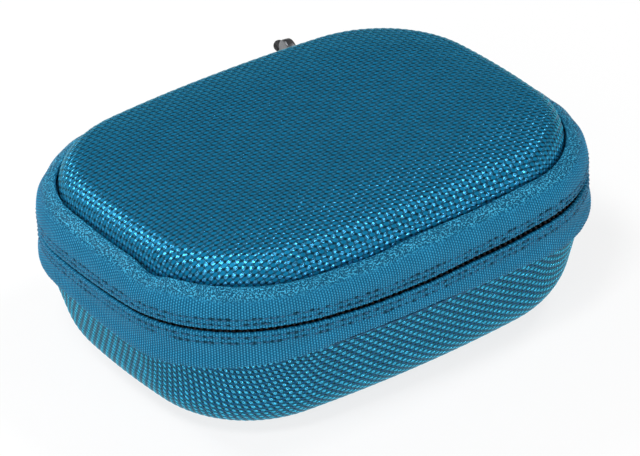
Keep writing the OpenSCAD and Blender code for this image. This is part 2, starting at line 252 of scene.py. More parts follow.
def settle(points):
    """Fill the back out to the CAD's straight hinge side, which the photograph doesn't show."""
    x, y = np.abs(points[..., 0]), points[..., 1]
    side = HALF_WIDTH - SIDE_RADIUS + np.sqrt(SIDE_RADIUS ** 2 - x ** 2)
    corner = CORNER[1] + np.sqrt(np.maximum(CORNER_RADIUS ** 2 - (x - CORNER[0]) ** 2, 0))
    bowed = np.where(x < CORNER[0] * SIDE_RADIUS / (SIDE_RADIUS - CORNER_RADIUS), side, corner)
    past = np.clip(x - SLIDER_CORNER[0], 0, SETTLE_REACH)
    straight = SLIDER_CORNER[1] + np.sqrt(SLIDER_RADIUS ** 2 - past ** 2)
    settled = points.copy()
    settled[..., 1] += np.clip(straight - bowed, 0, 1) * ease((y - SETTLE_FROM) / SETTLE_OVER)
    return settled


def around(*marks):
    """A smooth height round the case from (degrees counterclockwise from +X, value) marks."""
    degrees, values = np.array(sorted(marks)).T
    step, reach = 0.5, 12
    places = np.arange(0, 360, step)
    coarse = np.interp(places, degrees, values, period=360)
    window = np.hanning(2 * reach + 1)
    padded = np.concatenate((coarse[-reach:], coarse, coarse[:reach]))
    smooth = np.convolve(padded, window / window.sum(), "valid")
    return lambda s: np.interp(plan_degrees(s), places, smooth, period=360)


def plan_degrees(s):
    """Angle of the outline's point at s as seen from the origin, in degrees."""
    centre, radius, normal = plan_at(s)
    x, y = (centre + radius[..., None] * normal).T
    return np.degrees(np.arctan2(y, x)).T % 360


slit_height = around((40, 26.3), (55, 26.0), (90, 26.0), (125, 26.0), (150, 26.4), (172, 26.7),
                     (190, 26.85), (212, 27.0), (231, 27.0), (238, 26.55), (248, 26.05),
                     (268, 26.05), (282, 26.5), (294, 26.6), (305, 27.0), (340, 26.8), (0, 26.6))
slit_opening = around((90, 0.4), (140, 0.6), (180, 0.8), (225, 0.8), (260, 0.9), (290, 1.2),
                      (315, 1.4), (345, 1.15), (20, 0.7))
hem_height = around((90, 19.3), (140, 20.0), (173, 20.4), (182, 19.7), (194, 19.2), (199, 18.7),
                    (210, 19.1), (221, 19.8), (231, 20.5), (241, 21.1), (270, 21.3), (286, 20.8),
                    (297, 20.4), (308, 19.8), (345, 19.4), (30, 19.3))
roll_rise = around((90, 0.3), (140, 0.6), (172, 1.2), (188, 1.0), (193, 1.0), (197, -1.2),
                   (201, 0.6), (216, 0.4), (230, 0.1), (240, -0.2), (254, -0.5), (265, 0.3),
                   (277, 0.4), (288, 0.3), (302, 0.6), (314, 0.2), (335, 0.5), (0, 0.6),
                   (45, 0.4))


def wobble(s, length, size, seed):
    """Small unevenness along the outline: a few waves of about the given length."""
    random = np.random.default_rng(seed)
    total = np.zeros_like(s)
    for _ in range(6):
        waves = round(PERIMETER / length * random.uniform(0.6, 1.7))
        total += random.uniform(0.5, 1) * np.cos(
            2 * np.pi * (waves * s / PERIMETER + random.random()))
    return size * total / 2


# Cross-sections: points of (inset, height), with the inset measured inward from the outline.

def arc(inset, z, radius, first, last, steps):
    """Points of an arc in a cross-section, angles in radians."""
    angles = np.linspace(first, last, steps + 1)
    return np.stack((inset + radius * np.cos(angles), z + radius * np.sin(angles)), -1)


def dome_path(depth, foot, steps=8):
    """The dome's section at a depth under its face, from the foot up to the flat centre."""
    wall = (SHOULDER_INSET - (SHOULDER_RADIUS - depth) * math.cos(DOME_LEAN)
            - math.tan(DOME_LEAN) * (SHOULDER_Z - foot
                                     + (SHOULDER_RADIUS - depth) * math.sin(DOME_LEAN)))
    return np.concatenate((
        [(wall, foot)],
        arc(SHOULDER_INSET, SHOULDER_Z, SHOULDER_RADIUS - depth, math.pi - DOME_LEAN,
            math.pi / 2 + CROWN_ANGLE, steps),
        arc(CROWN_INSET, CASE_HEIGHT - CROWN_RADIUS, CROWN_RADIUS - depth,
            math.pi / 2 + CROWN_ANGLE, math.pi / 2, steps)[1:]))


def base_path(depth, steps=12):
    """The base's section at a depth under its face, from the rim down to the flat centre."""
    radius = BOTTOM_RADIUS - depth
    wall = (BOTTOM_INSET - radius * math.cos(BASE_LEAN)
            - math.tan(BASE_LEAN) * (BASE_TOP - BOTTOM_RADIUS + radius * math.sin(BASE_LEAN)))
    return np.concatenate((
        [(wall, BASE_TOP)],
        arc(BOTTOM_INSET, BOTTOM_RADIUS, radius, math.pi + BASE_LEAN, 1.5 * math.pi, steps)))


def refine(path, step):
    """Points along a section no more than a step apart, with the distance run to each."""
    run = run_along(path)
    even = np.linspace(0, run[-1], max(math.ceil(run[-1] / step), 2) + 1)
    return np.stack([np.interp(even, run, path[:, k]) for k in (0, 1)], -1), even


# Meshes.

def build(name, points, faces, uvs=None, values=None, smooth=True):
    """An object from points in millimetres. faces and uvs are lists of arrays, one row a face."""
    faces = [np.asarray(group) for group in faces]
    if enclosed_volume(points, faces) < 0:
        faces = [group[:, ::-1] for group in faces]
        uvs = uvs and [group[:, ::-1] for group in uvs]
    sizes = np.concatenate([np.full(len(group), group.shape[1]) for group in faces])
    corners = np.concatenate([group.ravel() for group in faces])
    mesh = bpy.data.meshes.new(name)
    mesh.vertices.add(len(points))
    mesh.vertices.foreach_set("co", (points * MM).astype(np.float32).ravel())
    mesh.loops.add(len(corners))
    mesh.loops.foreach_set("vertex_index", corners.astype(np.int32))
    mesh.polygons.add(len(sizes))
    mesh.polygons.foreach_set("loop_start", (np.cumsum(sizes) - sizes).astype(np.int32))
    mesh.polygons.foreach_set("use_smooth", np.full(len(sizes), smooth))
    mesh.update(calc_edges=True)
    if uvs:
        layer = mesh.uv_layers.new(name="UVMap")
        flat = np.concatenate([group.reshape(-1, 2) for group in uvs])
        layer.data.foreach_set("uv", flat.astype(np.float32).ravel())
    for label, value in (values or {}).items():
        attribute = mesh.attributes.new(label, "FLOAT", "POINT")
        attribute.data.foreach_set("value", value.astype(np.float32).ravel())
    mesh.validate(verbose=False)
    piece = bpy.data.objects.new(name, mesh)
    bpy.context.scene.collection.objects.link(piece)
    return piece


def enclosed_volume(points, faces):
    """Signed volume of the shape that the faces close, which tells whether they face outward."""
    total = 0.0
    for group in faces:
        for k in range(1, group.shape[1] - 1):
            a, b, c = (points[group[:, i]] for i in (0, k, k + 1))
            total += np.einsum("ij,ij->", a, np.cross(b, c))
    return total


def grid(rows, columns, wrap_rows=False, wrap_columns=True):
    """Quads over rows of points, and the row and column of each corner before wrapping."""
    r, c = np.meshgrid(np.arange(rows if wrap_rows else rows - 1),
                       np.arange(columns if wrap_columns else columns - 1), indexing="ij")
    r = np.stack((r, r, r + 1, r + 1), -1).reshape(-1, 4)
    c = np.stack((c, c + 1, c + 1, c), -1).reshape(-1, 4)
    return (r % rows) * columns + c % columns, r, c


def end_caps(rings, sides):
    """One face for each end of a row of rings."""
    return np.stack((np.arange(sides)[::-1], (rings - 1) * sides + np.arange(sides)))


def end_fans(rings, sides):
    """Triangles from each end of a row of rings to the two points that follow them."""
    first, pole = np.arange(sides), np.full(sides, rings * sides)
    last = (rings - 1) * sides + first
    return np.concatenate((np.stack((pole, np.roll(first, -1), first), -1),
                           np.stack((pole + 1, last, np.roll(last, -1)), -1)))


def loft(name, rings):
    """A solid through closed rings of points, with flat ends."""
    count, sides = rings.shape[:2]
    return build(name, rings.reshape(-1, 3), [grid(count, sides)[0], end_caps(count, sides)])


def place(s, inset, z):
    """Points at insets and heights in the planes that stand across the outline at s."""
    centre, radius, normal = plan_at(s)
    while centre.ndim < np.ndim(inset) + 1:
        centre, radius, normal = centre[..., None, :], radius[..., None], normal[..., None, :]
    flat = centre + (radius - inset)[..., None] * normal
    return settle(np.concatenate((flat, np.broadcast_to(z, flat.shape[:-1])[..., None]), -1))


def turns(count):
    """Angles spread evenly round a circle."""
    return np.arange(count) * 2 * np.pi / count


def heading(path):
    """Unit vectors along a path."""
    along = np.gradient(path, axis=0)
    return along / np.linalg.norm(along, axis=1)[:, None]


def run_along(path):
    """Distance run to each point of a path."""
    return np.concatenate(([0], np.cumsum(np.linalg.norm(np.diff(path, axis=0), axis=1))))


def sweep(name, s, inset, z, run=None, values=None, ring=True):
    """A closed cross-section carried along the outline; inset and z have a row for each place."""
    inset, z, _ = np.broadcast_arrays(inset, z, s[:, None])
    rows, columns = inset.shape
    quads, r, c = grid(rows, columns, wrap_rows=ring)
    if run is None:
        run = np.broadcast_to(run_along(np.stack((inset[0], z[0]), -1)), inset.shape)
    u = np.where(r == rows, PERIMETER, s[r % rows])
    faces, uvs = [quads], [np.stack((u, run[r % rows, c % columns]), -1)]
    if not ring:
        faces.append(end_caps(rows, columns))
        first, last = np.stack((inset, z), -1)[[0, -1]]
        uvs.append(np.stack((first[::-1], last)))
    return build(name, place(s, inset, z).reshape(-1, 3), faces, uvs, values)


def even_stations(step):
    """Arclengths round the whole outline, about a step apart."""
    count = round(PERIMETER / step)
    return np.arange(count) * PERIMETER / count


def outward(inset, z):
    """Unit normals of closed sections, pointing out of the material."""
    along = np.roll(inset, -1, -1) - np.roll(inset, 1, -1), np.roll(z, -1, -1) - np.roll(z, 1, -1)
    length = np.maximum(np.hypot(*along), 1e-9)
    area = np.sum(inset * np.roll(z, -1, -1) - z * np.roll(inset, -1, -1), -1, keepdims=True)
    way = np.sign(area)
    return along[1] / length * way, -along[0] / length * way


# Materials.

class Term:
    """A number made in a node tree, which can be added, multiplied and so on like a plain one."""

    def __init__(self, shader, socket):
        self.shader, self.socket = shader, socket

    def of(self, operation, other=0.0):
        return self.shader.math(operation, self, other)

    def __add__(self, other):
        return self.of("ADD", other)

    def __sub__(self, other):
        return self.of("SUBTRACT", other)

    def __rsub__(self, other):
        return self.shader.math("SUBTRACT", other, self)

    def __mul__(self, other):
        return self.of("MULTIPLY", other)

    __radd__, __rmul__ = __add__, __mul__


class Shader:
    """A material's node tree, with short calls for the nodes that the materials share."""

    def __init__(self, name, roughness, **constants):
        self.material = bpy.data.materials.new(name)
        self.material.use_nodes = True
        self.tree = self.material.node_tree
        self.surface = self.tree.nodes["Principled BSDF"]
        self.set(self.surface.inputs["Roughness"], roughness)
        for socket, value in constants.items():
            self.surface.inputs[socket.replace("_", " ")].default_value = value

    def set(self, socket, value):
        if isinstance(value, Term):
            self.tree.links.new(value.socket, socket)
        else:
            socket.default_value = value

    def add(self, kind, inputs, output=0, **settings):
        node = self.tree.nodes.new("ShaderNode" + kind)
        for label, value in settings.items():
            setattr(node, label, value)
        for label, value in inputs.items():
            self.set(node.inputs[label], value)
        return Term(self, node.outputs[output])

    def math(self, operation, a, b=0.0, c=0.0):
        return self.add("Math", {0: a, 1: b, 2: c}, operation=operation)

    def uv(self):
        return self.add("UVMap", {}, uv_map="UVMap")

    def split(self, vector):
        """The vector's X and Y."""
        return (self.add("SeparateXYZ", {0: vector}, output=axis) for axis in "XY")

    def place(self):
        """Object coordinates in millimetres."""
        coordinates = self.add("TexCoord", {}, output="Object")
        return self.scale(coordinates, 1 / MM)

    def value(self, label):
        return self.add("Attribute", {}, output="Fac", attribute_name=label)

    def stretch(self, vector, x, y, z=1.0):
        return self.add("VectorMath", {0: vector, 1: (x, y, z)}, operation="MULTIPLY")

    def noise(self, vector, scale, detail=2.0):
        return self.add("TexNoise", {"Vector": vector, "Scale": scale, "Detail": detail})

    def range(self, value, low, high, to_low, to_high):
        return self.add("MapRange", {"Value": value, "From Min": low, "From Max": high,
                                     "To Min": to_low, "To Max": to_high})

    def vary(self, noise, low, high):
        """A noise's usual range, from 0.3 to 0.7, spread over low to high."""
        return self.range(noise, 0.3, 0.7, low, high)

    def mix(self, share, a, b):
        return self.add("Mix", {"Factor": share, "A": a, "B": b}, data_type="FLOAT")

    def scale(self, vector, share):
        return self.add("VectorMath", {0: vector, "Scale": share}, operation="SCALE")

    def plus(self, vector, other, share):
        """A vector with a share of another one added."""
        part = self.scale(other, share)
        return self.add("VectorMath", {0: vector, 1: part}, operation="ADD")

    def wave(self, vector, way, **inputs):
        return self.add("TexWave", {"Vector": vector, **inputs}, output="Fac",
                        bands_direction=way)

    def colour(self, base, *shares):
        """The base colour, darkened or lightened by the product of the shares."""
        product = math.prod(shares[1:], start=shares[0])
        self.set(self.surface.inputs["Base Color"], self.scale(base, product))

    def bump(self, height, depth):
        """Relief of a height from 0 to 1, its depth in millimetres."""
        normal = self.add("Bump", {"Height": height, "Strength": 1.0, "Distance": depth * MM})
        self.set(self.surface.inputs["Normal"], normal)


def weave_terms(shader, uv):
    """plain_weave() as nodes: its height, 1 where the yarn on top runs along X, the plies of
    that yarn, the pits between the yarns (1 where they are open, -1 where they are shut), and
    how far a point is inside its crossing. The last two only mask painted shade in the colour."""
    u, v = shader.split(uv)
    a, b = u * (1 / LONG_PITCH) + 0.5, v * (1 / CROSS_PITCH) + 0.5
    i, j = a.of("FLOOR"), b.of("FLOOR")
    da, db = a - i - 0.5, b - j - 0.5
    over = 1 - 2 * (i + j).of("FLOORED_MODULO", 2.0)
    heights = []
    for crimp, round_part, width, across, along, way in (
            (*LONG_YARN, da, db, 1), (*CROSS_YARN, db, da, -1)):
        body = (across * width).of("ABSOLUTE").of("POWER", YARN_FLATNESS)
        body = (1 - body).of("MAXIMUM", 0.0).of("SQRT")
        heights.append(way * crimp * over * (along * math.pi).of("COSINE") + round_part * body)
    long_yarn, cross_yarn = heights
    plies = (db * (4.2 * math.pi) + da * (1.2 * math.pi)).of("COSINE")
    pits = over * (da * math.pi).of("SINE") * (db * math.pi).of("SINE")
    column, row = (da * math.pi).of("COSINE"), (db * math.pi).of("COSINE")
    inner = column * (0.5 + 0.5 * column) * row * (0.5 + 0.5 * row)
    return (long_yarn.of("MAXIMUM", cross_yarn), cross_yarn.of("GREATER_THAN", long_yarn),
            plies, pits, inner)


def weave_material(name, long_colour, cross_colour, relief):
    """Coarse plain weave of shiny filament yarn, over the relief that is in the mesh. Its colour
    carries painted shade: dark outlines round each crossing, dark pits between the yarns and
    lighter crossing middles.
    """
    shader = Shader(name, 0.3, Specular_IOR_Level=0.12, Specular_Tint=(0.3, 1.0, 1.0, 1.0))
    uv = shader.uv()
    drift = shader.add("TexNoise", {"Vector": uv, "Scale": 0.7}, output="Color")
    drift = shader.add("VectorMath", {0: drift, 1: (0.5, 0.5, 0.5)}, operation="SUBTRACT")
    height, crossing, plies, pits, inner = weave_terms(shader, shader.plus(uv, drift, 0.22))
    along_x = shader.noise(shader.stretch(uv, 1.6, 12.0), 1.0)
    along_y = shader.noise(shader.stretch(uv, 12.0, 1.6), 1.0)
    filaments = shader.mix(crossing, along_y, along_x)
    # painted shade: the outlines round each crossing and the pits between the yarns are darkened,
    # the crossing middles lightened
    shade = (shader.range(inner, 0.0, 0.4, 0.3, 1.25) * shader.range(pits, 0.4, 0.9, 1.0, 0.25)
             * shader.range(pits, -1.0, -0.6, 0.8, 1.0))
    patches = shader.vary(shader.noise(uv, 0.22, 3.0), 0.93, 1.07)
    yarns = shader.range(filaments, 0.25, 0.75, 0.85, 1.15)
    base = shader.plus(long_colour, np.subtract(cross_colour, long_colour), crossing)
    shader.colour(base, shade, patches, yarns)
    rough = shader.mix(crossing, 0.4, 0.23) + shader.vary(filaments, -0.04, 0.04)
    shader.set(shader.surface.inputs["Roughness"], rough)
    shine = shader.mix(crossing, 0.2, shader.range(height, 0.3, 0.6, 0.25, 0.82))
    shader.set(shader.surface.inputs["Metallic"], shine)
    shader.bump(height + filaments * 0.25 + plies * crossing * 0.15, relief)
    return shader.material


def tape_material(name, base, highlight):
    """Ribbed zip tape, with looser loops towards the edge that is rolled over. Its colour carries
    painted shade in the valleys between the ribs and painted highlights on the rib crests and the
    loops.
    """
    shader = Shader(name, 0.4, Specular_IOR_Level=0.2, Specular_Tint=(0.5, 1.0, 1.0, 1.0))
    uv, needle, loops = shader.uv(), shader.value("needle"), shader.value("loops")
    u, v = shader.split(uv)
    fine = shader.noise(shader.stretch(uv, 6.0, 4.0), 1.0, 3.0)
    ribs = u * (1 / RIB_PITCH_EVEN)
    crest = 0.5 + 0.5 * (ribs * (2 * math.pi)).of("COSINE")
    odd = (ribs + 0.5).of("FLOOR").of("FLOORED_MODULO", 2.0)
    knots = 0.5 + 0.5 * ((v * (1 / KNOT_PITCH) + 0.5 * odd) * (2 * math.pi)).of("COSINE")
    weave = crest * (0.25 + 0.75 * knots)
    curls = shader.add("TexNoise", {"Vector": uv, "Scale": 3.4, "Detail": 0.0, "Distortion": 0.6})
    curls = shader.range(curls, 0.47, 0.6, 0.0, 1.0)
    height = shader.mix(loops, weave * 0.8 + fine * 0.3, curls + fine * 0.5)
    # painted shade and highlight: darker in the valleys between the ribs, lighter on their crests
    rib_painted_light = shader.range(weave + fine * 0.7, 0.2, 1.2, 0.38, 1.75)
    # painted highlight on the loose loops: bright curls with darker gaps between them
    loop_painted_light = shader.range(curls + fine * 0.6, 0.2, 1.4, 0.4, 2.1)
    shade = shader.mix(loops, rib_painted_light, loop_painted_light)
    # painted shade: the colour is darkened in the needle holes
    holes = shader.range(needle, 0.15, 0.75, 1.0, 0.25)
    patches = shader.vary(shader.noise(uv, 0.18, 3.0), 0.94, 1.06)
    # painted highlight: a paler tint mixed into the colour where the painted light is brightest
    pale = shader.range(shade, 0.8, 2.2, 0.0, 1.0)
    shader.colour(shader.plus(base, highlight, pale), shade, holes, patches)
    shader.bump(height, 0.14)
    return shader.material


def knit_material(name, base):
    """Short-haired knit, as on the linings: columns of small loops."""
    shader = Shader(name, 0.85, Specular_IOR_Level=0.25, Sheen_Weight=0.25)
    uv = shader.uv()
    columns = shader.wave(shader.stretch(uv, 0.32, 0.0), "X")
    courses = shader.wave(shader.stretch(uv, 0.0, 0.42), "Y", Distortion=0.6)
    height = columns * courses + shader.noise(uv, 4.0, 4.0) * 0.6
    shader.colour(base, shader.range(height, 0.2, 1.3, 0.7, 1.3),
                  shader.vary(shader.noise(uv, 0.15, 3.0), 0.9, 1.12))
    shader.bump(height, 0.12)
    return shader.material


def metal_material(name, base):
    """Gunmetal plating over a cast part, a little worn and mottled."""
    shader = Shader(name, 0.3, Metallic=1.0)
    mottle = shader.noise(shader.place(), 0.8, 4.0)
    shader.colour(base, shader.vary(mottle, 0.85, 1.15))
    shader.set(shader.surface.inputs["Roughness"], shader.vary(mottle, 0.22, 0.42))
    shader.bump(shader.noise(shader.place(), 6.0, 3.0), 0.02)
    return shader.material


def grained_material(name, base, roughness, specular, texture, shades, depth, mottle=None):
    """A surface with one fine texture that gives its relief and its shades.

    shades are two values of the texture and the shades there; mottle is the scale and detail of
    the noise over it.
    """
    shader = Shader(name, roughness, Specular_IOR_Level=specular)
    height = texture(shader, shader.place())
    shares = [shader.range(height, *shades)]
    if mottle:
        shares.append(shader.vary(shader.noise(shader.place(), *mottle), 0.85, 1.15))
    shader.colour(base, *shares)
    shader.bump(height, depth)
    return shader.material


def twist(shader, place):
    """Slanting plies, as on sewing thread."""
    return shader.wave(place, "DIAGONAL", Scale=1.6, Distortion=1.0)


def cells(shader, place):
    """Small cells, as on moulded foam."""
    return shader.add("TexVoronoi", {"Vector": place, "Scale": 3.0})


def streaks(shader, place):
    """Streaks across Z, as on drawn nylon."""
    return shader.noise(shader.stretch(place, 1.0, 1.0, 4.0), 1.5, 3.0)


def cords(shader, place):
    """Fine cords that run along Y, as on elastic."""
    return shader.wave(shader.stretch(place, 0.6, 0.0, 0.0), "X")


def moulded_grain(shader, place):
    """Fine even grain, as on moulded rubber."""
    return shader.noise(place, 5.0, 3.0)


LID_CLOTH = weave_material("woven_cover", (0.004, 0.138, 0.275), (0.045, 0.31, 0.56), 0.1)
# painted light: the base's copy of the cloth has darker long yarns and brighter crossing yarns
# than the lid's, for how its walls are lit; its deeper relief is bump
BASE_CLOTH_PAINTED_LIGHT = weave_material("base_woven_cover_painted_light", (0.003, 0.068, 0.17), (0.065, 0.42, 0.68), 0.42)
ZIP_TAPE = tape_material("zip_tape", (0.006, 0.145, 0.3), (0.03, 0.1, 0.08))
KNIT = knit_material("knit_lining", (0.02, 0.022, 0.026))
GUNMETAL = metal_material("gunmetal", (0.16, 0.165, 0.175))
SEWING = grained_material("thread", (0.012, 0.12, 0.24), 0.5, 0.4, twist, (0.0, 1.0, 0.8, 1.1),
                          0.04, (3.0, 2.0))
FOAM_BLACK = grained_material("moulded_foam", (0.024, 0.026, 0.03), 0.8, 0.3, cells,
                              (0.0, 0.6, 0.75, 1.2), 0.06)
COIL_BLACK = grained_material("zip_coil", (0.004, 0.005, 0.008), 0.6, 0.5, streaks,
                              (0.3, 0.7, 0.8, 1.2), 0.03)
NET_CORD = grained_material("pocket_net", (0.02, 0.022, 0.026), 0.55, 0.5, streaks,
                            (0.3, 0.7, 0.8, 1.2), 0.03)
ELASTIC_TEAL = grained_material("elastic", (0.014, 0.15, 0.3), 0.6, 0.35, cords,
                                (0.0, 1.0, 0.7, 1.1), 0.1, (2.5, 3.0))
RUBBER = grained_material("black_rubber", (0.008, 0.008, 0.009), 0.5, 0.45, moulded_grain,
                          (0.3, 0.7, 0.8, 1.3), 0.03)


def finish_piece(piece, material, body=None, nodes=()):
    """Give a piece its material in a new slot, hide the CAD parts that it stands for, and attach
    it to the body that carries it, if any.
    """
    piece.data.materials.append(material)
    if nodes:
        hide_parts(*nodes)
    if body:
        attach(piece, body)
    return piece


def split_beside_slider(piece):
    """Take the stretch beside the resting slider off a piece of the zip, as its own piece."""
    centres = np.empty(len(piece.data.polygons) * 3)
    piece.data.polygons.foreach_get("center", centres)
    x, y, _ = centres.reshape(-1, 3).T / MM
    beside = (x > BESIDE_SLIDER[0]) & (x < BESIDE_SLIDER[1]) & (y > 0)
    stretch = piece.copy()
    stretch.data = piece.data.copy()
    stretch.name = piece.name + "_beside_slider"
    bpy.context.collection.objects.link(stretch)
    for part, away in ((piece, beside), (stretch, ~beside)):
        cut = bmesh.new()
        cut.from_mesh(part.data)
        cut.faces.ensure_lookup_table()
        faces = [cut.faces[k] for k in np.flatnonzero(away)]
        bmesh.ops.delete(cut, geom=faces, context="FACES")
        cut.to_mesh(part.data)
        cut.free()
    return stretch


def finish_zip_side(piece, material, body, nodes):
    """Finish a ring of the zip, with the stretch beside the resting slider split off as a piece
    of its own that is attached to no body.
    """
    stretch = split_beside_slider(piece)
    finish_piece(piece, material, body, nodes)
    finish_piece(stretch, material)
    if body == "lid":
        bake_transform(stretch)
    else:
        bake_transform(stretch)


# Woven covers.

def plain_weave(u, v):
    """Height of a plain weave, from 0 to 1."""
    a, b = u / LONG_PITCH + 0.5, v / CROSS_PITCH + 0.5
    i, j = np.floor(a), np.floor(b)
    da, db = a - i - 0.5, b - j - 0.5
    over = np.where((i + j) % 2 == 0, 1.0, -1.0)
    heights = []
    for crimp, round_part, width, across, along, way in (
            (*LONG_YARN, da, db, 1), (*CROSS_YARN, db, da, -1)):
        body = np.sqrt(np.clip(1 - np.abs(across * width) ** YARN_FLATNESS, 0, 1))
        heights.append(way * crimp * over * np.cos(np.pi * along) + round_part * body)
    return np.maximum(*heights)


def boundary_loop(faces):
    """Vertices of the one open edge of a sheet, in order."""
    edges = np.concatenate([faces[:, [k, (k + 1) % 4]] for k in range(4)])
    key = edges[:, 0].astype(np.int64) * (faces.max() + 1) + edges[:, 1]
    back = edges[:, 1].astype(np.int64) * (faces.max() + 1) + edges[:, 0]
    free = edges[~np.isin(key, back)]
    following = dict(zip(free[:, 0].tolist(), free[:, 1].tolist()))
    loop = [next(iter(following))]
    while following[loop[-1]] != loop[0]:
        loop.append(following[loop[-1]])
    return np.array(loop)


def zip_loops(points, one, other):
    """Triangles that join two closed loops round the Z axis."""
    def turned(loop):
        angle = np.unwrap(np.arctan2(points[loop, 1], points[loop, 0]))
        if angle[-1] < angle[0]:
            loop, angle = loop[::-1], angle[::-1]
        start = np.argmin(np.mod(angle, 2 * np.pi))
        loop = np.roll(loop, -start)
        angle = np.unwrap(np.arctan2(points[loop, 1], points[loop, 0]) % (2 * np.pi))
        return np.append(loop, loop[0]), np.append(angle, angle[0] + 2 * np.pi)

    (a, angle_a), (b, angle_b) = turned(one), turned(other)
    i = j = 0
    faces = []
    while i < len(a) - 1 or j < len(b) - 1:
        if j == len(b) - 1 or (i < len(a) - 1 and angle_a[i + 1] <= angle_b[j + 1]):
            faces.append((a[i], b[j], a[i + 1]))
            i += 1
        else:
            faces.append((a[i], b[j], b[j + 1]))
            j += 1
    return np.array(faces)


def cloth_layer(path, rise, samples, depth, relief):
    """Points, quads and cloth coordinates of one side of a cover, at a depth under its face."""
    section, run = refine(path[::-1], SECTION_STEP)
    flat_inset, reach = section[0, 0], run[-1]
    slope = heading(section)
    out = np.stack((slope[:, 1], -slope[:, 0]), -1) * rise
    extent = reach - flat_inset + 2
    lines = []
    for half, pitch in ((HALF_LENGTH, LONG_PITCH), (HALF_WIDTH, CROSS_PITCH)):
        count = int((half + extent) / (pitch / samples)) + 1
        lines.append(np.arange(-count, count + 1) * (pitch / samples))
    u, v = np.meshgrid(*lines, indexing="ij")
    x, y = u + LONG_SKEW * v, v + CROSS_SKEW * u
    centre, normal, radius, inset = locate(x, y)
    distance = flat_inset - inset
    quads, _, _ = grid(*u.shape, wrap_columns=False)
    quads = quads[(distance < reach).ravel()[quads].any(axis=1)]
    sunk = depth + relief * (1 - plain_weave(u, v))
    at = np.clip(distance, 0, reach)
    across, z = (np.interp(at, run, section[:, k]) - np.interp(at, run, out[:, k]) * sunk
                 for k in (0, 1))
    xy = np.where((distance <= 0)[..., None], np.stack((x, y), -1),
                  centre + (radius - across)[..., None] * normal)
    points = np.concatenate((xy, z[..., None]), -1).reshape(-1, 3)
    used, renumbered = np.unique(quads, return_inverse=True)
    cloth = np.stack((u, v), -1).reshape(-1, 2)[used]
    return settle(points[used]), renumbered.reshape(quads.shape), cloth


def woven_cover(name, path, rise):
    """A cloth moulded over a shell: yarns run straight on its flat centre and down its sides.

    path is the section from the foot to the flat centre, and rise 1 or -1 for its outer side.
    """
    outer, outer_quads, outer_cloth = cloth_layer(path, rise, SAMPLES, 0.0, WEAVE_RELIEF)
    inner, inner_quads, inner_cloth = cloth_layer(path, rise, 1, COVER, 0.0)
    points = np.concatenate((outer, inner))
    cloth = np.concatenate((outer_cloth, inner_cloth))
    inner_quads = inner_quads[:, ::-1] + len(outer)
    hem = zip_loops(points, boundary_loop(outer_quads), boundary_loop(inner_quads))
    if rise > 0:
        outer_quads, inner_quads = outer_quads[:, ::-1], inner_quads[:, ::-1]
    else:
        hem = hem[:, ::-1]
    faces = [outer_quads, inner_quads, hem]
    return build(name, points, faces, [cloth[f] for f in faces])


lid_cover = woven_cover("lid_cover_cloth", dome_path(0, BRIM_Z, 40), 1)
finish_piece(lid_cover, LID_CLOTH, "lid", ["lid_cover"])
base_cover = woven_cover("base_cover_cloth", base_path(0, 40), -1)
finish_piece(base_cover, BASE_CLOTH_PAINTED_LIGHT, "base", ["base_cover"])


# Tapes.

def stitch_holes(s, z, slit, side, seed):
    """How deep each point lies in a needle hole, from 0 to 1."""
    random = np.random.default_rng(seed)
    count = round(PERIMETER / STITCH_PITCH)
    depth = np.zeros(z.shape)
    for height in STITCH_ROWS:
        jitter = random.uniform(-HOLE_JITTER, HOLE_JITTER, (2, count + 1))
        k = np.floor(s / STITCH_PITCH).astype(int) % count
        away = s - (np.floor(s / STITCH_PITCH) + 0.5) * STITCH_PITCH - jitter[0, k]
        up = z - (slit + side * (height + 0.3 * jitter[1, k]))[:, None]
        size = 0.85 + jitter[1, k] * 1.3
        far = np.hypot(away[:, None] / HOLE_SIZE[0], up / HOLE_SIZE[1]) / size[:, None]
        depth = np.maximum(depth, np.clip(1.5 - far, 0, 1))
    return depth


def ribbed(s, inset, z, run, face, slit, side, seed, loops):
    """Raise the ribs of a tape's outer face and sink its needle holes."""
    rib = 0.5 + 0.5 * np.cos(2 * np.pi * s / RIB_PITCH_EVEN)[:, None]
    odd = np.floor(s / RIB_PITCH_EVEN + 0.5)[:, None] % 2
    knots = 0.5 + 0.5 * np.cos(2 * np.pi * (run / KNOT_PITCH + 0.5 * odd))
    uneven = np.random.default_rng(seed).uniform(-1, 1, z.shape)
    relief = rib * (0.55 + 0.45 * knots)
    relief = relief * (1 - 0.55 * loops) + loops * (0.3 + 0.3 * uneven)
    holes = stitch_holes(s, z, slit, side, seed) * face
    p, q = outward(inset, z)
    lift = face * (RIB_DEPTH * (relief - 1) - HOLE_DEPTH * holes)
    return inset + p * lift, z + q * lift, holes


def hinge_share(s, edge=0.25):
    """1 within the sewn stretch of the hinge, 0 outside it."""
    from_back = np.minimum(np.mod(s, PERIMETER), PERIMETER - np.mod(s, PERIMETER))
    return np.clip((HINGE_HALF + edge - from_back) / edge, 0, 1)


def tape_edge(s, side, seed):
    """Height of a tape's edge at the slit, which waves with its ribs."""
    ribs = 0.04 * np.cos(2 * np.pi * s / RIB_PITCH_EVEN)
    edge = slit_height(s) + side * slit_opening(s) / 2 + wobble(s, 2.2, 0.05, seed) + side * ribs
    return (edge + hinge_share(s) * (SLIT_Z + side * RIM_DISTANCE - edge))[:, None]


def roll_inset(z):
    """How far the roll's face stands in from the outline at a height."""
    return ROLL_RADIUS - np.sqrt(ROLL_RADIUS ** 2 - np.clip(z - ROLL_Z, 0, None) ** 2)


def strung(s, *parts):
    """Closed sections at s, from parts of (inset, height, run along the cloth, share of face)."""
    parts = [np.broadcast_arrays(*part, s[:, None])[:4] for part in parts]
    return [np.concatenate(values, 1) for values in zip(*parts)]


# The points round a tape's edge: insets, distances from the edge, and their share of the face.
EDGE_INSET = np.array((TAPE, TAPE * 0.8, TAPE * 0.3, 0.06))
EDGE_AWAY = np.array((0.12, 0.0, 0.0, 0.08))
EDGE_FACE = np.array((0.0, 0.3, 0.7, 1.0))
FACE_START = 0.22


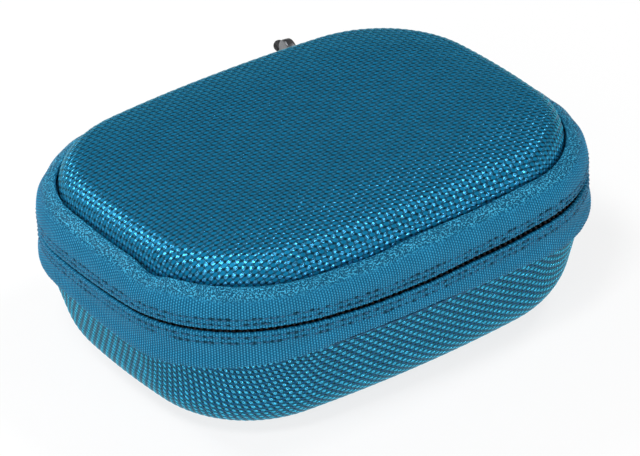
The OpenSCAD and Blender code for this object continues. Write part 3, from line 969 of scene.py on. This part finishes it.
def lid_tape():
    """The upper tape: its foot at the slit, its face, and its top edge rolled into the groove."""
    s = even_stations(RIB_PITCH_EVEN / 4)
    rise, sewn = roll_rise(s)[:, None], hinge_share(s)[:, None]
    foot = tape_edge(s, 1, 5)
    t = np.linspace(0, 1, 14, endpoint=False)
    face_z = (foot + FACE_START + t * (ROLL_Z - FACE_START - foot) * (1 - sewn)
              + sewn * t * 0.01)
    face_inset = roll_inset(face_z) - wobble(s, 14.0, 0.06, 8)[:, None] * (1 - sewn)
    first = np.arcsin(np.clip((foot + 0.3 - ROLL_Z) / ROLL_RADIUS, 0, 1))
    angle = first + np.linspace(0, 1, 26) * (ROLL_END - first)
    sway = wobble(s, 9.0, 0.1, 7)[:, None] * np.sin(2 * angle)
    over_inset = ROLL_RADIUS - ROLL_RADIUS * np.cos(angle) - sway
    over_z = ROLL_Z + ROLL_RADIUS * np.sin(angle) + rise * np.sin(angle) ** 2
    turn = ROLL_END + np.linspace(0, 1, 8)[1:-1] * math.pi
    middle = ROLL_RADIUS - TAPE / 2
    end_inset = ROLL_RADIUS - middle * math.cos(ROLL_END) - TAPE / 2 * np.cos(turn)
    end_z = ROLL_Z + middle * math.sin(ROLL_END) + rise + TAPE / 2 * np.sin(turn)
    end_run = ROLL_RADIUS * ROLL_END + TAPE / 2 * (turn - ROLL_END)
    back = ROLL_END + np.linspace(0, 1, 10) * (first - ROLL_END)
    back_inset = ROLL_RADIUS - (ROLL_RADIUS - TAPE) * np.cos(back)
    back_z = ROLL_Z + (ROLL_RADIUS - TAPE) * np.sin(back) + rise * np.sin(back) ** 2
    low, low_inset = foot + EDGE_AWAY, EDGE_INSET + (sewn > 0.5) * roll_inset(face_z[:, :1])
    hidden = 0.4 * np.arange(5)
    inset, z, run, face = strung(
        s, (back_inset[:, 5:], back_z[:, 5:], hidden - 9.0, 0.0),
        (low_inset, low, low - ROLL_Z, EDGE_FACE), (face_inset, face_z, face_z - ROLL_Z, 1.0),
        (over_inset, over_z, ROLL_RADIUS * angle, 1.0),
        (end_inset, end_z, end_run, np.linspace(1, 0.3, 6)),
        (back_inset[:, :5], back_z[:, :5], end_run[-1] + 0.4 + hidden, 0.0))
    loops = np.clip((run - LOOPS_FROM) / LOOPS_OVER, 0, 1) * face
    inset, z, needle = ribbed(s, inset, z, run, face, slit_height(s), 1, 21, loops)
    return sweep("lid_tape_cloth", s, inset, z, run, {"needle": needle, "loops": loops})


def base_tape():
    """The lower tape: its edge at the slit, its face, and the hem that stands proud below."""
    s = even_stations(RIB_PITCH_EVEN / 4)
    top = tape_edge(s, -1, 6)
    low = (hem_height(s) + wobble(s, 6.0, 0.06, 9))[:, None]
    t = np.linspace(0, 1, 25)
    face_z = top - FACE_START + t * (low + HEM_ROUND - top + FACE_START)
    proud = HEM_PROUD * ease((low + 3.0 - face_z) / 2.0)
    face_inset = -proud - wobble(s, 11.0, 0.05, 10)[:, None] * np.sin(np.pi * t)
    turn = np.linspace(0, 1, 6)[1:-1] * math.pi / 2
    hem_inset = face_inset[:, -1:] + HEM_ROUND * (1 - np.cos(turn))
    hem_z = low + HEM_ROUND * (1 - np.sin(turn))
    under = np.array((0.3, 0.6, TAPE))
    back_z = low + np.linspace(0, 1, 10)[1:-1] * (top - EDGE_AWAY[0] - low)
    high = top - EDGE_AWAY
    hidden = 0.3 * np.arange(4)
    inset, z, run, face = strung(
        s, (TAPE, back_z[:, 4:], hidden + 8.0, 0.0), (EDGE_INSET, high, SLIT_Z - high, EDGE_FACE),
        (face_inset, face_z, SLIT_Z - face_z, 1.0), (hem_inset, hem_z, SLIT_Z - hem_z, 1.0),
        (under, low, SLIT_Z - low + under, 0.0), (TAPE, back_z[:, :4], hidden + 9.5, 0.0))
    loops = np.zeros(run.shape)
    inset, z, needle = ribbed(s, inset, z, run, face, slit_height(s), -1, 22, loops)
    return sweep("base_tape_cloth", s, inset, z, run, {"needle": needle, "loops": loops})


finish_zip_side(lid_tape(), ZIP_TAPE, "lid", ["lid_zip_tape"])
finish_zip_side(base_tape(), ZIP_TAPE, "base", ["base_zip_tape"])


def hinge_stations(step, half=HINGE_HALF):
    """Arclengths over the back, from the slider's side to the far side."""
    count = 2 * round(half / step)
    return np.linspace(-half, half, count + 1)


def finish_hinge_piece(piece, material, node):
    """Finish a piece that runs over the hinge from the base to the lid; it is attached to no
    body.
    """
    finish_piece(piece, material, None, [node])
    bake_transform(piece)
    return piece


def hinge_cloth():
    """The strip sewn over the back of the zip, ribbed as the tapes are."""
    s = hinge_stations(RIB_PITCH_EVEN / 4)
    rows = np.linspace(UPPER_RIM - 0.02, LOWER_RIM + 0.02, 40)
    inner = rows[::-4]
    inset, z, run, face = strung(s, (roll_inset(rows), rows, SLIT_Z - rows, 1.0),
                                 (roll_inset(inner) + TAPE, inner, SLIT_Z - inner, 0.0))
    none, slit = np.zeros(run.shape), np.full(len(s), SLIT_Z)
    holes = np.maximum(stitch_holes(s, z, slit, 1, 23), stitch_holes(s, z, slit, -1, 24)) * face
    inset, z, _ = ribbed(s, inset, z, run, face, slit, 1, 23, none)
    return sweep("hinge_cloth", s, inset, z, run, {"needle": holes, "loops": none}, ring=False)


piece = finish_hinge_piece(hinge_cloth(), ZIP_TAPE, "hinge_strip")


def hinge_lining():
    """The lining strip inside the hinge."""
    s = hinge_stations(0.5, HINGE_HALF - 0.3)
    z = np.linspace(LOWER_RIM + 0.1, UPPER_RIM - 0.1, 28)
    outer = TAPE + roll_inset(z)
    inset = np.concatenate((outer + 0.02, (outer + 0.5)[::-1]))
    return sweep("hinge_lining_cloth", s, inset, np.concatenate((z, z[::-1])), ring=False)


piece = finish_hinge_piece(hinge_lining(), KNIT, "hinge_lining")


# Sewing.

def capsules(name, s, inset, z, length, radius, sides=6):
    """Short rounded stitches along the outline, each from s - length/2 to s + length/2."""
    stops = np.array((-1.0, -0.8, -0.3, 0.3, 0.8, 1.0))
    girth = radius * np.array((0.15, 0.75, 1.0, 1.0, 0.75, 0.15))[:, None]
    turn = turns(sides)
    along = s[:, None] + stops * length[:, None] / 2
    count, rings = along.shape
    points = place(along, inset[:, None, None] + radius - girth - girth * np.cos(turn),
                   z[:, None, None] + girth * np.sin(turn))
    first = np.arange(count)[:, None, None] * rings * sides
    return build(name, points.reshape(-1, 3),
                 [(grid(rings, sides)[0] + first).reshape(-1, 4),
                  (end_caps(rings, sides) + first).reshape(-1, sides)])


def stitching(name, side, seed):
    """Two rows of stitches beside the slit, between the needle holes of its tape."""
    random = np.random.default_rng(seed)
    count = round(PERIMETER / STITCH_PITCH)
    s = np.tile(np.arange(count) * STITCH_PITCH, 2)
    s = s + random.uniform(-0.1, 0.1, len(s))
    z = (slit_height(s) + side * np.repeat(STITCH_ROWS, count)
         + random.uniform(-0.06, 0.06, len(s)))
    keep = np.minimum(s, PERIMETER - s) > HINGE_HALF + 1
    length = random.uniform(*STITCH_LENGTH, len(s))
    inset = STITCH_INSET + np.clip(z - ROLL_Z, 0, None) * 0.05
    return capsules(name, s[keep], inset[keep], z[keep], length[keep], THREAD / 2)


for body, side, seed in (("lid", 1, 31), ("base", -1, 32)):
    finish_zip_side(stitching(body + "_coil_stitches", side, seed), SEWING, body,
                    [body + "_coil_stitching"])


def hinge_stitching():
    """Four rows of stitches across the hinge cloth."""
    random = np.random.default_rng(33)
    s = np.arange(-HINGE_HALF + 0.8, HINGE_HALF, STITCH_PITCH)
    rows = [SLIT_Z + side * row for side in (-1, 1) for row in STITCH_ROWS]
    s, z = (a.ravel() for a in np.meshgrid(s, rows))
    length = random.uniform(*HINGE_STITCH_LENGTH, len(s))
    inset = np.full(len(s), STITCH_INSET)
    return capsules("hinge_stitches", s, inset, z, length, THREAD / 2)


finish_hinge_piece(hinge_stitching(), SEWING, "hinge_stitching")


def swelling(s, share, length):
    """A swell round the case, repeated about every length."""
    even = PERIMETER / round(PERIMETER / length)
    return 1 + share * np.cos(2 * np.pi * s / even)[:, None]


def seam_thread(name, inset, z, radius):
    """A line of thread that runs round the case in a seam."""
    s = even_stations(0.5)
    turn = turns(6)
    return sweep(name, s, inset + radius * swelling(s, 0.25, 2.5) * np.cos(turn),
                 z + radius * np.sin(turn))


for body, inset, z, radius in (("lid", DOME_INSET - 0.15, BRIM_Z + 0.15, 0.15),
                               ("base", TAPE + 0.1, BAND_BOTTOM + 0.85, 0.13)):
    finish_piece(seam_thread(body + "_seam", inset, z, radius), SEWING, body,
                 [body + "_seam_thread"])


# The zip's coils and stops.

def coil(name, side):
    """A helix of nylon wire behind a tape, its loops reaching the slit."""
    length = PERIMETER - 2 * HINGE_HALF - 0.4
    turns, steps = round(length / COIL_PITCH), 12
    t = np.arange(turns * steps + 1) / steps
    s = HINGE_HALF + 0.4 + t * length / turns
    angle = 2 * np.pi * t
    half = COIL_RADIUS - COIL_WIRE
    inset = TAPE + COIL_RADIUS + half * np.cos(angle)
    z = slit_height(s) + side * (COIL_RADIUS - (half + 0.1) * np.sin(angle))
    return tube(name, place(s, inset, z), COIL_WIRE, 6)


def tube(name, path, radius, sides):
    """A round tube along a path of points."""
    along = heading(path)
    across = np.cross(along, (0.0, 0.0, 1.0))
    upright = np.linalg.norm(across, axis=1) < 0.2
    across[upright] = np.cross(along[upright], (1.0, 0.0, 0.0))
    for k in range(1, len(across)):
        across[k] -= along[k] * (across[k] @ along[k])
        if across[k] @ across[k - 1] < 0:
            across[k] = -across[k]
    across /= np.linalg.norm(across, axis=1)[:, None]
    other = np.cross(along, across)
    turn = turns(sides)[:, None]
    ring = across[:, None] * np.cos(turn) + other[:, None] * np.sin(turn)
    return loft(name, path[:, None] + radius * ring)


for body, side in (("lid", 1), ("base", -1)):
    finish_zip_side(coil(body + "_coil_wire", side), COIL_BLACK, body,
                    [body + "_coil", "zip_end_coils"])


def superellipse(a, b, power, count):
    """Outline of a rounded rectangle, counterclockwise."""
    c, d = np.cos(turns(count)), np.sin(turns(count))
    size = (np.abs(c / a) ** power + np.abs(d / b) ** power) ** (-1 / power)
    return np.stack((size * c, size * d), -1)


def slab(outline, low, high, bevel, matrix, dome=0.0):
    """A plate with rounded edges, its outline in XY and its faces at low and high along Z."""
    centre = outline.mean(axis=0)
    away = outline - centre
    length = np.linalg.norm(away, axis=1)[:, None]

    def ring(size, z):
        return np.column_stack((centre + away * size, np.full(len(outline), z)))

    quarter = np.linspace(0, np.pi / 2, 4)
    rings = [ring(1 - bevel * (1 - np.sin(a)) / length, z - way * bevel * (1 - np.cos(a)))
             for z, way, angles in ((low, -1, quarter), (high, 1, quarter[::-1])) for a in angles]
    rings = ([ring(size, low) for size in (0.33, 0.66)] + rings
             + [ring(size, high + dome * (1 - size ** 2)) for size in (0.66, 0.33)])
    points = np.concatenate(rings + [[(*centre, low)], [(*centre, high + dome)]])
    faces = [grid(len(rings), len(outline))[0], end_fans(len(rings), len(outline))]
    return build("slab", through(points, matrix), faces)


def through(points, matrix):
    """Points moved by a 4 x 4 matrix."""
    matrix = np.array(matrix)
    return points @ matrix[:3, :3].T + matrix[:3, 3]


def join(name, pieces):
    """One object from several, each kept as its own closed shell."""
    bpy.ops.object.select_all(action="DESELECT")
    for piece in pieces:
        piece.select_set(True)
    bpy.context.view_layer.objects.active = pieces[0]
    bpy.ops.object.join()
    pieces[0].name = pieces[0].data.name = name
    return pieces[0]


def zip_stops():
    """A bar across both coils at each end of the sewn stretch."""
    stops = []
    for way in (-1, 1):
        x = way * (HINGE_HALF + 0.8)
        y = SLIDER_CORNER[1] + SLIDER_RADIUS - TAPE - 2 * COIL_RADIUS - 0.35
        stand = Matrix.Translation((x, y, SLIT_Z)) @ Matrix.Rotation(math.pi / 2, 4, "X")
        stops.append(slab(superellipse(*STOP_HALF, 6, 40), -STOP_THICKNESS / 2,
                          STOP_THICKNESS / 2, 0.2, stand))
    return join("zip_stop_bars", stops)


finish_piece(zip_stops(), GUNMETAL, "hinge_strip_body", ["zip_stops"])


# Shells, linings and bindings.

def bowl(name, outer, inner):
    """A shell between two sections that both run from the rim to the flat centre."""
    s = even_stations(PERIMETER / 360)
    shrink = np.array([(size, size, 1) for size in (0.8, 0.6, 0.4, 0.2)])[:, None]
    rings, cloths = [], []
    for path in (outer, inner):
        side = place(s, path[None, :, 0], path[:, 1]).swapaxes(0, 1)
        rings.append(np.concatenate((side, side[-1:] * shrink)))
        out = run_along(path[::-1])[::-1]
        laid = place(s, (path[-1, 0] - out)[None], 0.0)[..., :2].swapaxes(0, 1)
        cloths.append(np.concatenate((laid, laid[-1:] * shrink[..., :2])))
    loops = np.concatenate((rings[0][::-1], rings[1]))
    cloth = np.concatenate((cloths[0][::-1], cloths[1])).reshape(-1, 2)
    points = np.concatenate((loops.reshape(-1, 3), [(0, 0, outer[-1][1]), (0, 0, inner[-1][1])]))
    cloth = np.concatenate((cloth, [(0, 0), (0, 0)]))
    faces = [grid(*loops.shape[:2])[0], end_fans(*loops.shape[:2])]
    return build(name, points, faces, [cloth[f] for f in faces])


UPPER_FOAM_EDGE = UPPER_RIM + BINDING
BRIM_RADIUS = ROLL_RADIUS - TAPE - 0.05
LINING_DEPTH = COVER + FOAM
INNER_DEPTH = LINING_DEPTH + LINING


def brim_section():
    """The thin brim that the lid's foam turns out under the rolled tape."""
    first = math.asin((UPPER_FOAM_EDGE - ROLL_Z) / BRIM_RADIUS)
    last = math.asin((BRIM_Z - ROLL_Z) / BRIM_RADIUS)
    return arc(ROLL_RADIUS, ROLL_Z, BRIM_RADIUS, math.pi - first, math.pi - last, 6)


lid_foam = bowl("lid_foam", np.concatenate((brim_section(), dome_path(COVER, BRIM_Z))),
                dome_path(LINING_DEPTH, UPPER_FOAM_EDGE))
base_foam = bowl("base_foam", base_path(COVER), base_path(LINING_DEPTH))
lid_lining = bowl("lid_lining_cloth", dome_path(LINING_DEPTH, UPPER_FOAM_EDGE),
                  dome_path(INNER_DEPTH, UPPER_FOAM_EDGE))
base_lining = bowl("base_lining_cloth", base_path(LINING_DEPTH), base_path(INNER_DEPTH))
for body, foam, lining in (("lid", lid_foam, lid_lining), ("base", base_foam, base_lining)):
    finish_piece(foam, FOAM_BLACK, body, [body + "_foam_shell"])
    finish_piece(lining, KNIT, body, [body + "_lining"])


def binding(name, low_inset, high_inset, low, high):
    """Piping over a rim: a flattened round section with a slight swell between stitches."""
    s = even_stations(0.6)
    outline = superellipse((high_inset - low_inset) / 2, (high - low) / 2, 3, 28)
    return sweep(name, s, (low_inset + high_inset) / 2 + outline[:, 0],
                 (low + high) / 2 + outline[:, 1] * swelling(s, 0.03, 3.0))


for body, low_inset, high_inset, low, high in (
        ("lid", brim_section()[0, 0], dome_path(INNER_DEPTH, UPPER_RIM)[0, 0], UPPER_RIM,
         UPPER_FOAM_EDGE),
        ("base", BASE_INSET, base_path(INNER_DEPTH)[0, 0], BASE_TOP, LOWER_RIM)):
    finish_piece(binding(body + "_binding_tape", low_inset, high_inset, low, high), ZIP_TAPE,
                 body, [body + "_binding"])


# The lid's pocket.

NET_Z = SHOULDER_Z - 1.9
POCKET_MOUTH = -12.0
ELASTIC_WIDTH = 4.0
NET_PITCH = 2.2
NET_HOLE = 2.6
NET_STRAND = 0.16
NET_KNOT = 0.12


def pocket_net():
    """Knotted net: zigzag strands that meet their neighbours, with open holes between."""
    edge = dome_path(INNER_DEPTH, NET_Z + 0.4)[0, 0] + 0.1
    y = np.arange(POCKET_MOUTH + 0.1, HALF_WIDTH, NET_HOLE / 4)
    phase = (y - POCKET_MOUTH) / NET_HOLE * 2 * np.pi
    sway = (0.5 * NET_PITCH - NET_KNOT) * np.tanh(2.2 * np.cos(phase)) / math.tanh(2.2)
    strands = []
    count = int(HALF_LENGTH / NET_PITCH)
    for k in range(-count, count + 1):
        x = k * NET_PITCH + sway * (1 if k % 2 else -1)
        keep = locate(x, y)[3] > edge
        if keep.sum() > 2:
            path = np.column_stack((x, y, NET_Z + 0.2 + 0.1 * np.sin(phase)))[keep]
            strands.append(tube("strand", path, NET_STRAND, 5))
    return join("pocket_net_mesh", strands)


net = pocket_net()
finish_piece(net, NET_CORD, "lid", ["lid_pocket_net"])


def pocket_elastic():
    """The net's elastic edge across the lid."""
    edge = dome_path(INNER_DEPTH, NET_Z)[0, 0] + 0.1
    across = np.linspace(-HALF_LENGTH, HALF_LENGTH, 400)
    inset = locate(across, np.full(len(across), POCKET_MOUTH - ELASTIC_WIDTH))[3]
    reach = across[inset > edge].max()
    x = np.linspace(-reach, reach, 161)[:, None]
    outline = superellipse(ELASTIC_WIDTH / 2, 0.5, 5, 36)
    swell = 1 + 0.06 * np.cos(2 * np.pi * x / 1.1)
    rings = np.broadcast_arrays(x, POCKET_MOUTH - ELASTIC_WIDTH / 2 + outline[:, 0],
                                NET_Z - 0.55 + outline[:, 1] * swell)
    return loft("pocket_elastic_band", np.stack(rings, -1))


elastic = pocket_elastic()
finish_piece(elastic, ELASTIC_TEAL, "lid", ["lid_pocket_elastic"])


# Slider and pull, in the slider's own frame.

AT_SLIDER = (Matrix.Translation((*SLIDER_CORNER, SLIT_Z)) @ Matrix.Rotation(SLIDER_ANGLE, 4, "Z")
             @ Matrix.Translation((0, SLIDER_RADIUS, 0)))
FACING_OUT = Matrix.Rotation(-math.pi / 2, 4, "X")
OUTER_PLATE = 0.45
PLATE = 1.0
INNER_PLATE = -(TAPE + 2 * COIL_RADIUS + 0.31 + 0.3)
AXLE_Y = 2.6
STRAP_HALF = 1.7
AXLE_RADIUS = 0.7
PULL_LENGTH = 6.1
EYE_RADIUS = 3.5
ARM_Z = 2.2 / 2 + 0.3
ARM_WIDTH = 1.1
PLATE_HALF = (4.3, 4.2)
PLATE_TAPER = 0.14
POST_X = -2.55
POST_HALF = (0.75, 0.45)
RAIL_Z = 3.1
RAIL_HALF = (2.6, 0.35)
STRAP_FOOT = 2.0
STRAP_SECTION = (0.42, 1.1)
EYE_SWEEP = math.radians(128)
EYE_HALF = 0.9
HOLLOW_RADIUS = 2.5
HOLLOW_SWEEP = math.radians(62)
TAIL_RADIUS = 1.15
TAIL_END = 1.45


def slider_slab(outline, low, high, bevel, matrix, dome=0.0):
    """A slab placed by a matrix in the slider's frame."""
    return slab(outline, low, high, bevel, AT_SLIDER @ matrix, dome)


def slider_body():
    """Two plates that taper to the closed end, the post between them and the coil's rails."""
    outline = superellipse(*PLATE_HALF, 3.2, 72)
    towards_open_end = np.clip(outline[:, 0] / PLATE_HALF[0] + 0.6, 0, 1)
    outline[:, 1] *= 1 - PLATE_TAPER + PLATE_TAPER * towards_open_end
    parts = [slider_slab(outline, low, low + PLATE - dome, 0.3, FACING_OUT, dome)
             for low, dome in ((OUTER_PLATE, 0.12), (INNER_PLATE - PLATE, 0.0))]
    post = Matrix.Translation((POST_X, 0, 0)) @ FACING_OUT
    parts.append(slider_slab(superellipse(*POST_HALF, 4, 24), INNER_PLATE - PLATE / 2,
                             OUTER_PLATE + PLATE / 2, 0.1, post))
    for side in (-1, 1):
        rail = Matrix.Translation((0, 0, side * RAIL_Z)) @ FACING_OUT
        parts.append(slider_slab(superellipse(*RAIL_HALF, 6, 32), INNER_PLATE - 0.1,
                                 -(TAPE + 0.6), 0.12, rail))
    return join("slider_plates", parts)


def slider_bridge():
    """A strap over the plate that holds the pull's axle."""
    foot = OUTER_PLATE + 0.55
    arch = [(STRAP_HALF * math.cos(a), AXLE_Y + STRAP_HALF * math.sin(a) * 0.94)
            for a in (math.pi * (1 - k / 24) for k in range(25))]
    path = np.array([(-STRAP_FOOT, foot), *arch, (STRAP_FOOT, foot)])
    along = heading(path)
    out = np.stack((-along[:, 1], along[:, 0]), -1)
    outline = superellipse(*STRAP_SECTION, 4, 24)
    flat = path[:, None] + out[:, None] * outline[None, :, :1]
    rings = np.concatenate((flat, np.broadcast_to(outline[:, 1], flat.shape[:2])[..., None]), -1)
    return loft("slider_strap", through(rings, AT_SLIDER))


def pull_link():
    """The pull: an axle in the bridge, two arms beside it and a rounded eye plate."""
    stand = Matrix.Translation((0, AXLE_Y, 0))
    side_z = ARM_Z + ARM_WIDTH
    parts = [slider_slab(superellipse(AXLE_RADIUS, AXLE_RADIUS, 2, 24), -side_z, side_z, 0.15,
                         stand)]
    reach = PULL_LENGTH - math.sqrt(EYE_RADIUS ** 2 - side_z ** 2) + 0.6
    for side in (-1, 1):
        arm = stand @ Matrix.Translation((0, reach / 2 - 0.35, side * (ARM_Z + ARM_WIDTH / 2)))
        parts.append(slider_slab(superellipse(AXLE_RADIUS + 0.15, reach / 2 + 0.35, 4, 32),
                                 -ARM_WIDTH / 2, ARM_WIDTH / 2, 0.25, arm))
    angle = np.linspace(-1, 1, 49) * EYE_SWEEP
    rim = EYE_RADIUS * np.stack((np.cos(angle), np.sin(angle)), -1)
    bite = np.linspace(1, -1, 17)[1:-1] * HOLLOW_SWEEP
    hollow = np.stack((HOLLOW_RADIUS * np.cos(bite) - PULL_LENGTH,
                       HOLLOW_RADIUS * np.sin(bite)), -1)
    hollow[:, 0] = np.maximum(hollow[:, 0], rim[0, 0])
    eye = (stand @ Matrix.Translation((0, PULL_LENGTH, 0)) @ Matrix.Rotation(math.pi / 2, 4, "Z")
           @ Matrix.Rotation(math.pi / 2, 4, "X"))
    parts.append(slider_slab(np.concatenate((rim, hollow)), -EYE_HALF, EYE_HALF, 0.35, eye))
    return join("pull_eye_plate", parts)


def pull_tail():
    """The rubber tail, a short ribbed stem with a rounded end."""
    profile = [(0.6, -2.0), (0.6, -0.1), (1.0, 0.0), (1.12, 0.15), (1.15, 0.35), (1.0, 0.5),
               (1.0, 0.6), (1.15, 0.75), (1.15, 0.95), (1.0, 1.1), (1.0, 1.2), (1.15, 1.35)]
    for a in math.pi / 18 * np.arange(1, 9):
        profile.append((TAIL_RADIUS * math.cos(a), TAIL_END + TAIL_RADIUS * math.sin(a)))
    radius, y = np.array(profile).T[..., None]
    turn = turns(28)
    rings = np.broadcast_arrays(radius * np.cos(turn), AXLE_Y + PULL_LENGTH + EYE_RADIUS + y,
                                radius * np.sin(turn))
    return loft("pull_tail_stem", through(np.stack(rings, -1), AT_SLIDER))


for make, body in ((slider_body, "slider"), (slider_bridge, "slider"), (pull_link, "pull")):
    finish_piece(make(), GUNMETAL, body, [make.__name__])
finish_piece(pull_tail(), RUBBER, "pull", ["pull_tail"])


# Stage, light and camera.

FLOOR_HALF = 6000.0
PICTURE_WIDTH = 640
FOCAL_PIXELS = 4128.36
SENSOR_WIDTH = 36
CAMERA_PLACE = (-369.0, -548.4, 415.3)
CAMERA_ANGLES = (-34.0, 30.97, 3.11)


def floor():
    """A wide pale floor that keeps the case's soft shadow, and glows where it is seen."""
    corners = FLOOR_HALF * np.array([(-1, -1, 0), (1, -1, 0), (1, 1, 0), (-1, 1, 0)])
    piece = build("floor", corners, [np.arange(4)[None]], smooth=False)
    shader = Shader("floor", 0.9, Specular_IOR_Level=0.0, Base_Color=(0.95, 0.95, 0.95, 1))
    seen = shader.add("LightPath", {}, output="Is Camera Ray")
    for label in ("Is Glossy Ray", "Is Transmission Ray"):
        seen = seen.of("MAXIMUM", shader.add("LightPath", {}, output=label))
    glow = shader.add("Emission", {"Color": (1, 1, 1, 1)})
    surface = shader.add("MixShader", {0: seen * 0.8, 1: Term(shader, shader.surface.outputs[0]),
                                       2: glow})
    shader.set(shader.tree.nodes["Material Output"].inputs["Surface"], surface)
    piece.data.materials.append(shader.material)
    piece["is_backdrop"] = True


def world(horizon, zenith):
    """A soft white sky, brighter overhead."""
    sky = bpy.data.worlds.new("studio")
    bpy.context.scene.world = sky
    sky.use_nodes = True
    nodes, links = sky.node_tree.nodes, sky.node_tree.links
    background = nodes["Background"]
    background.inputs["Color"].default_value = (1, 1, 1, 1)
    direction, height, strength = (nodes.new("ShaderNode" + kind)
                                   for kind in ("TexCoord", "SeparateXYZ", "MapRange"))
    strength.inputs["To Min"].default_value = horizon
    strength.inputs["To Max"].default_value = zenith
    links.new(direction.outputs["Generated"], height.inputs[0])
    links.new(height.outputs["Z"], strength.inputs["Value"])
    links.new(strength.outputs[0], background.inputs["Strength"])


def softbox(name, direction, distance, size, level):
    """A square lamp aimed at the case. level is its share of full light on a facing surface."""
    lamp = bpy.data.lights.new(name, "AREA")
    lamp.shape, lamp.size = "SQUARE", size
    lamp.energy = level * math.pi ** 2 * distance ** 2
    holder = bpy.data.objects.new(name, lamp)
    way = Vector(direction).normalized()
    holder.location = Vector((0, 0, 0.02)) + way * distance
    holder.rotation_mode = "QUATERNION"
    holder.rotation_quaternion = way.to_track_quat("Z", "Y")
    holder.visible_camera = False
    bpy.context.scene.collection.objects.link(holder)


def camera():
    """The photograph's view, from its azimuth, elevation, roll and focal length in pixels."""
    azimuth, elevation, roll = (math.radians(a) for a in CAMERA_ANGLES)
    back = Vector((math.sin(azimuth) * math.cos(elevation),
                   -math.cos(azimuth) * math.cos(elevation), math.sin(elevation)))
    right = Vector((math.cos(azimuth), math.sin(azimuth), 0))
    up = back.cross(right)
    right, up = (math.cos(roll) * right - math.sin(roll) * up,
                 math.sin(roll) * right + math.cos(roll) * up)
    data = bpy.data.cameras.new("camera")
    data.sensor_width = SENSOR_WIDTH
    data.lens = SENSOR_WIDTH * FOCAL_PIXELS / PICTURE_WIDTH
    data.clip_start, data.clip_end = 0.05, 50
    holder = bpy.data.objects.new("camera", data)
    holder.matrix_world = (Matrix.Translation(Vector(CAMERA_PLACE) * MM)
                           @ Matrix((right, up, back)).transposed().to_4x4())
    bpy.context.scene.collection.objects.link(holder)
    bpy.context.scene.camera = holder


floor()
world(0.1, 0.25)
softbox("front_shoulder_light", (0.48, -0.16, 0.86), 1.0, 0.24, 0.26)
softbox("near_corner_light", (-0.45, -0.3, 0.84), 1.0, 0.22, 0.46)
softbox("back_light", (-0.38, 0.71, 0.6), 1.0, 0.3, 0.42)
softbox("front_light", (0.36, -0.93, 0.1), 1.0, 0.12, 0.17)
softbox("near_light", (-0.7, -0.5, 0.5), 1.2, 0.34, 0.2)
camera()
bpy.context.scene.view_settings.view_transform = "Standard"

low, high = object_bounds()
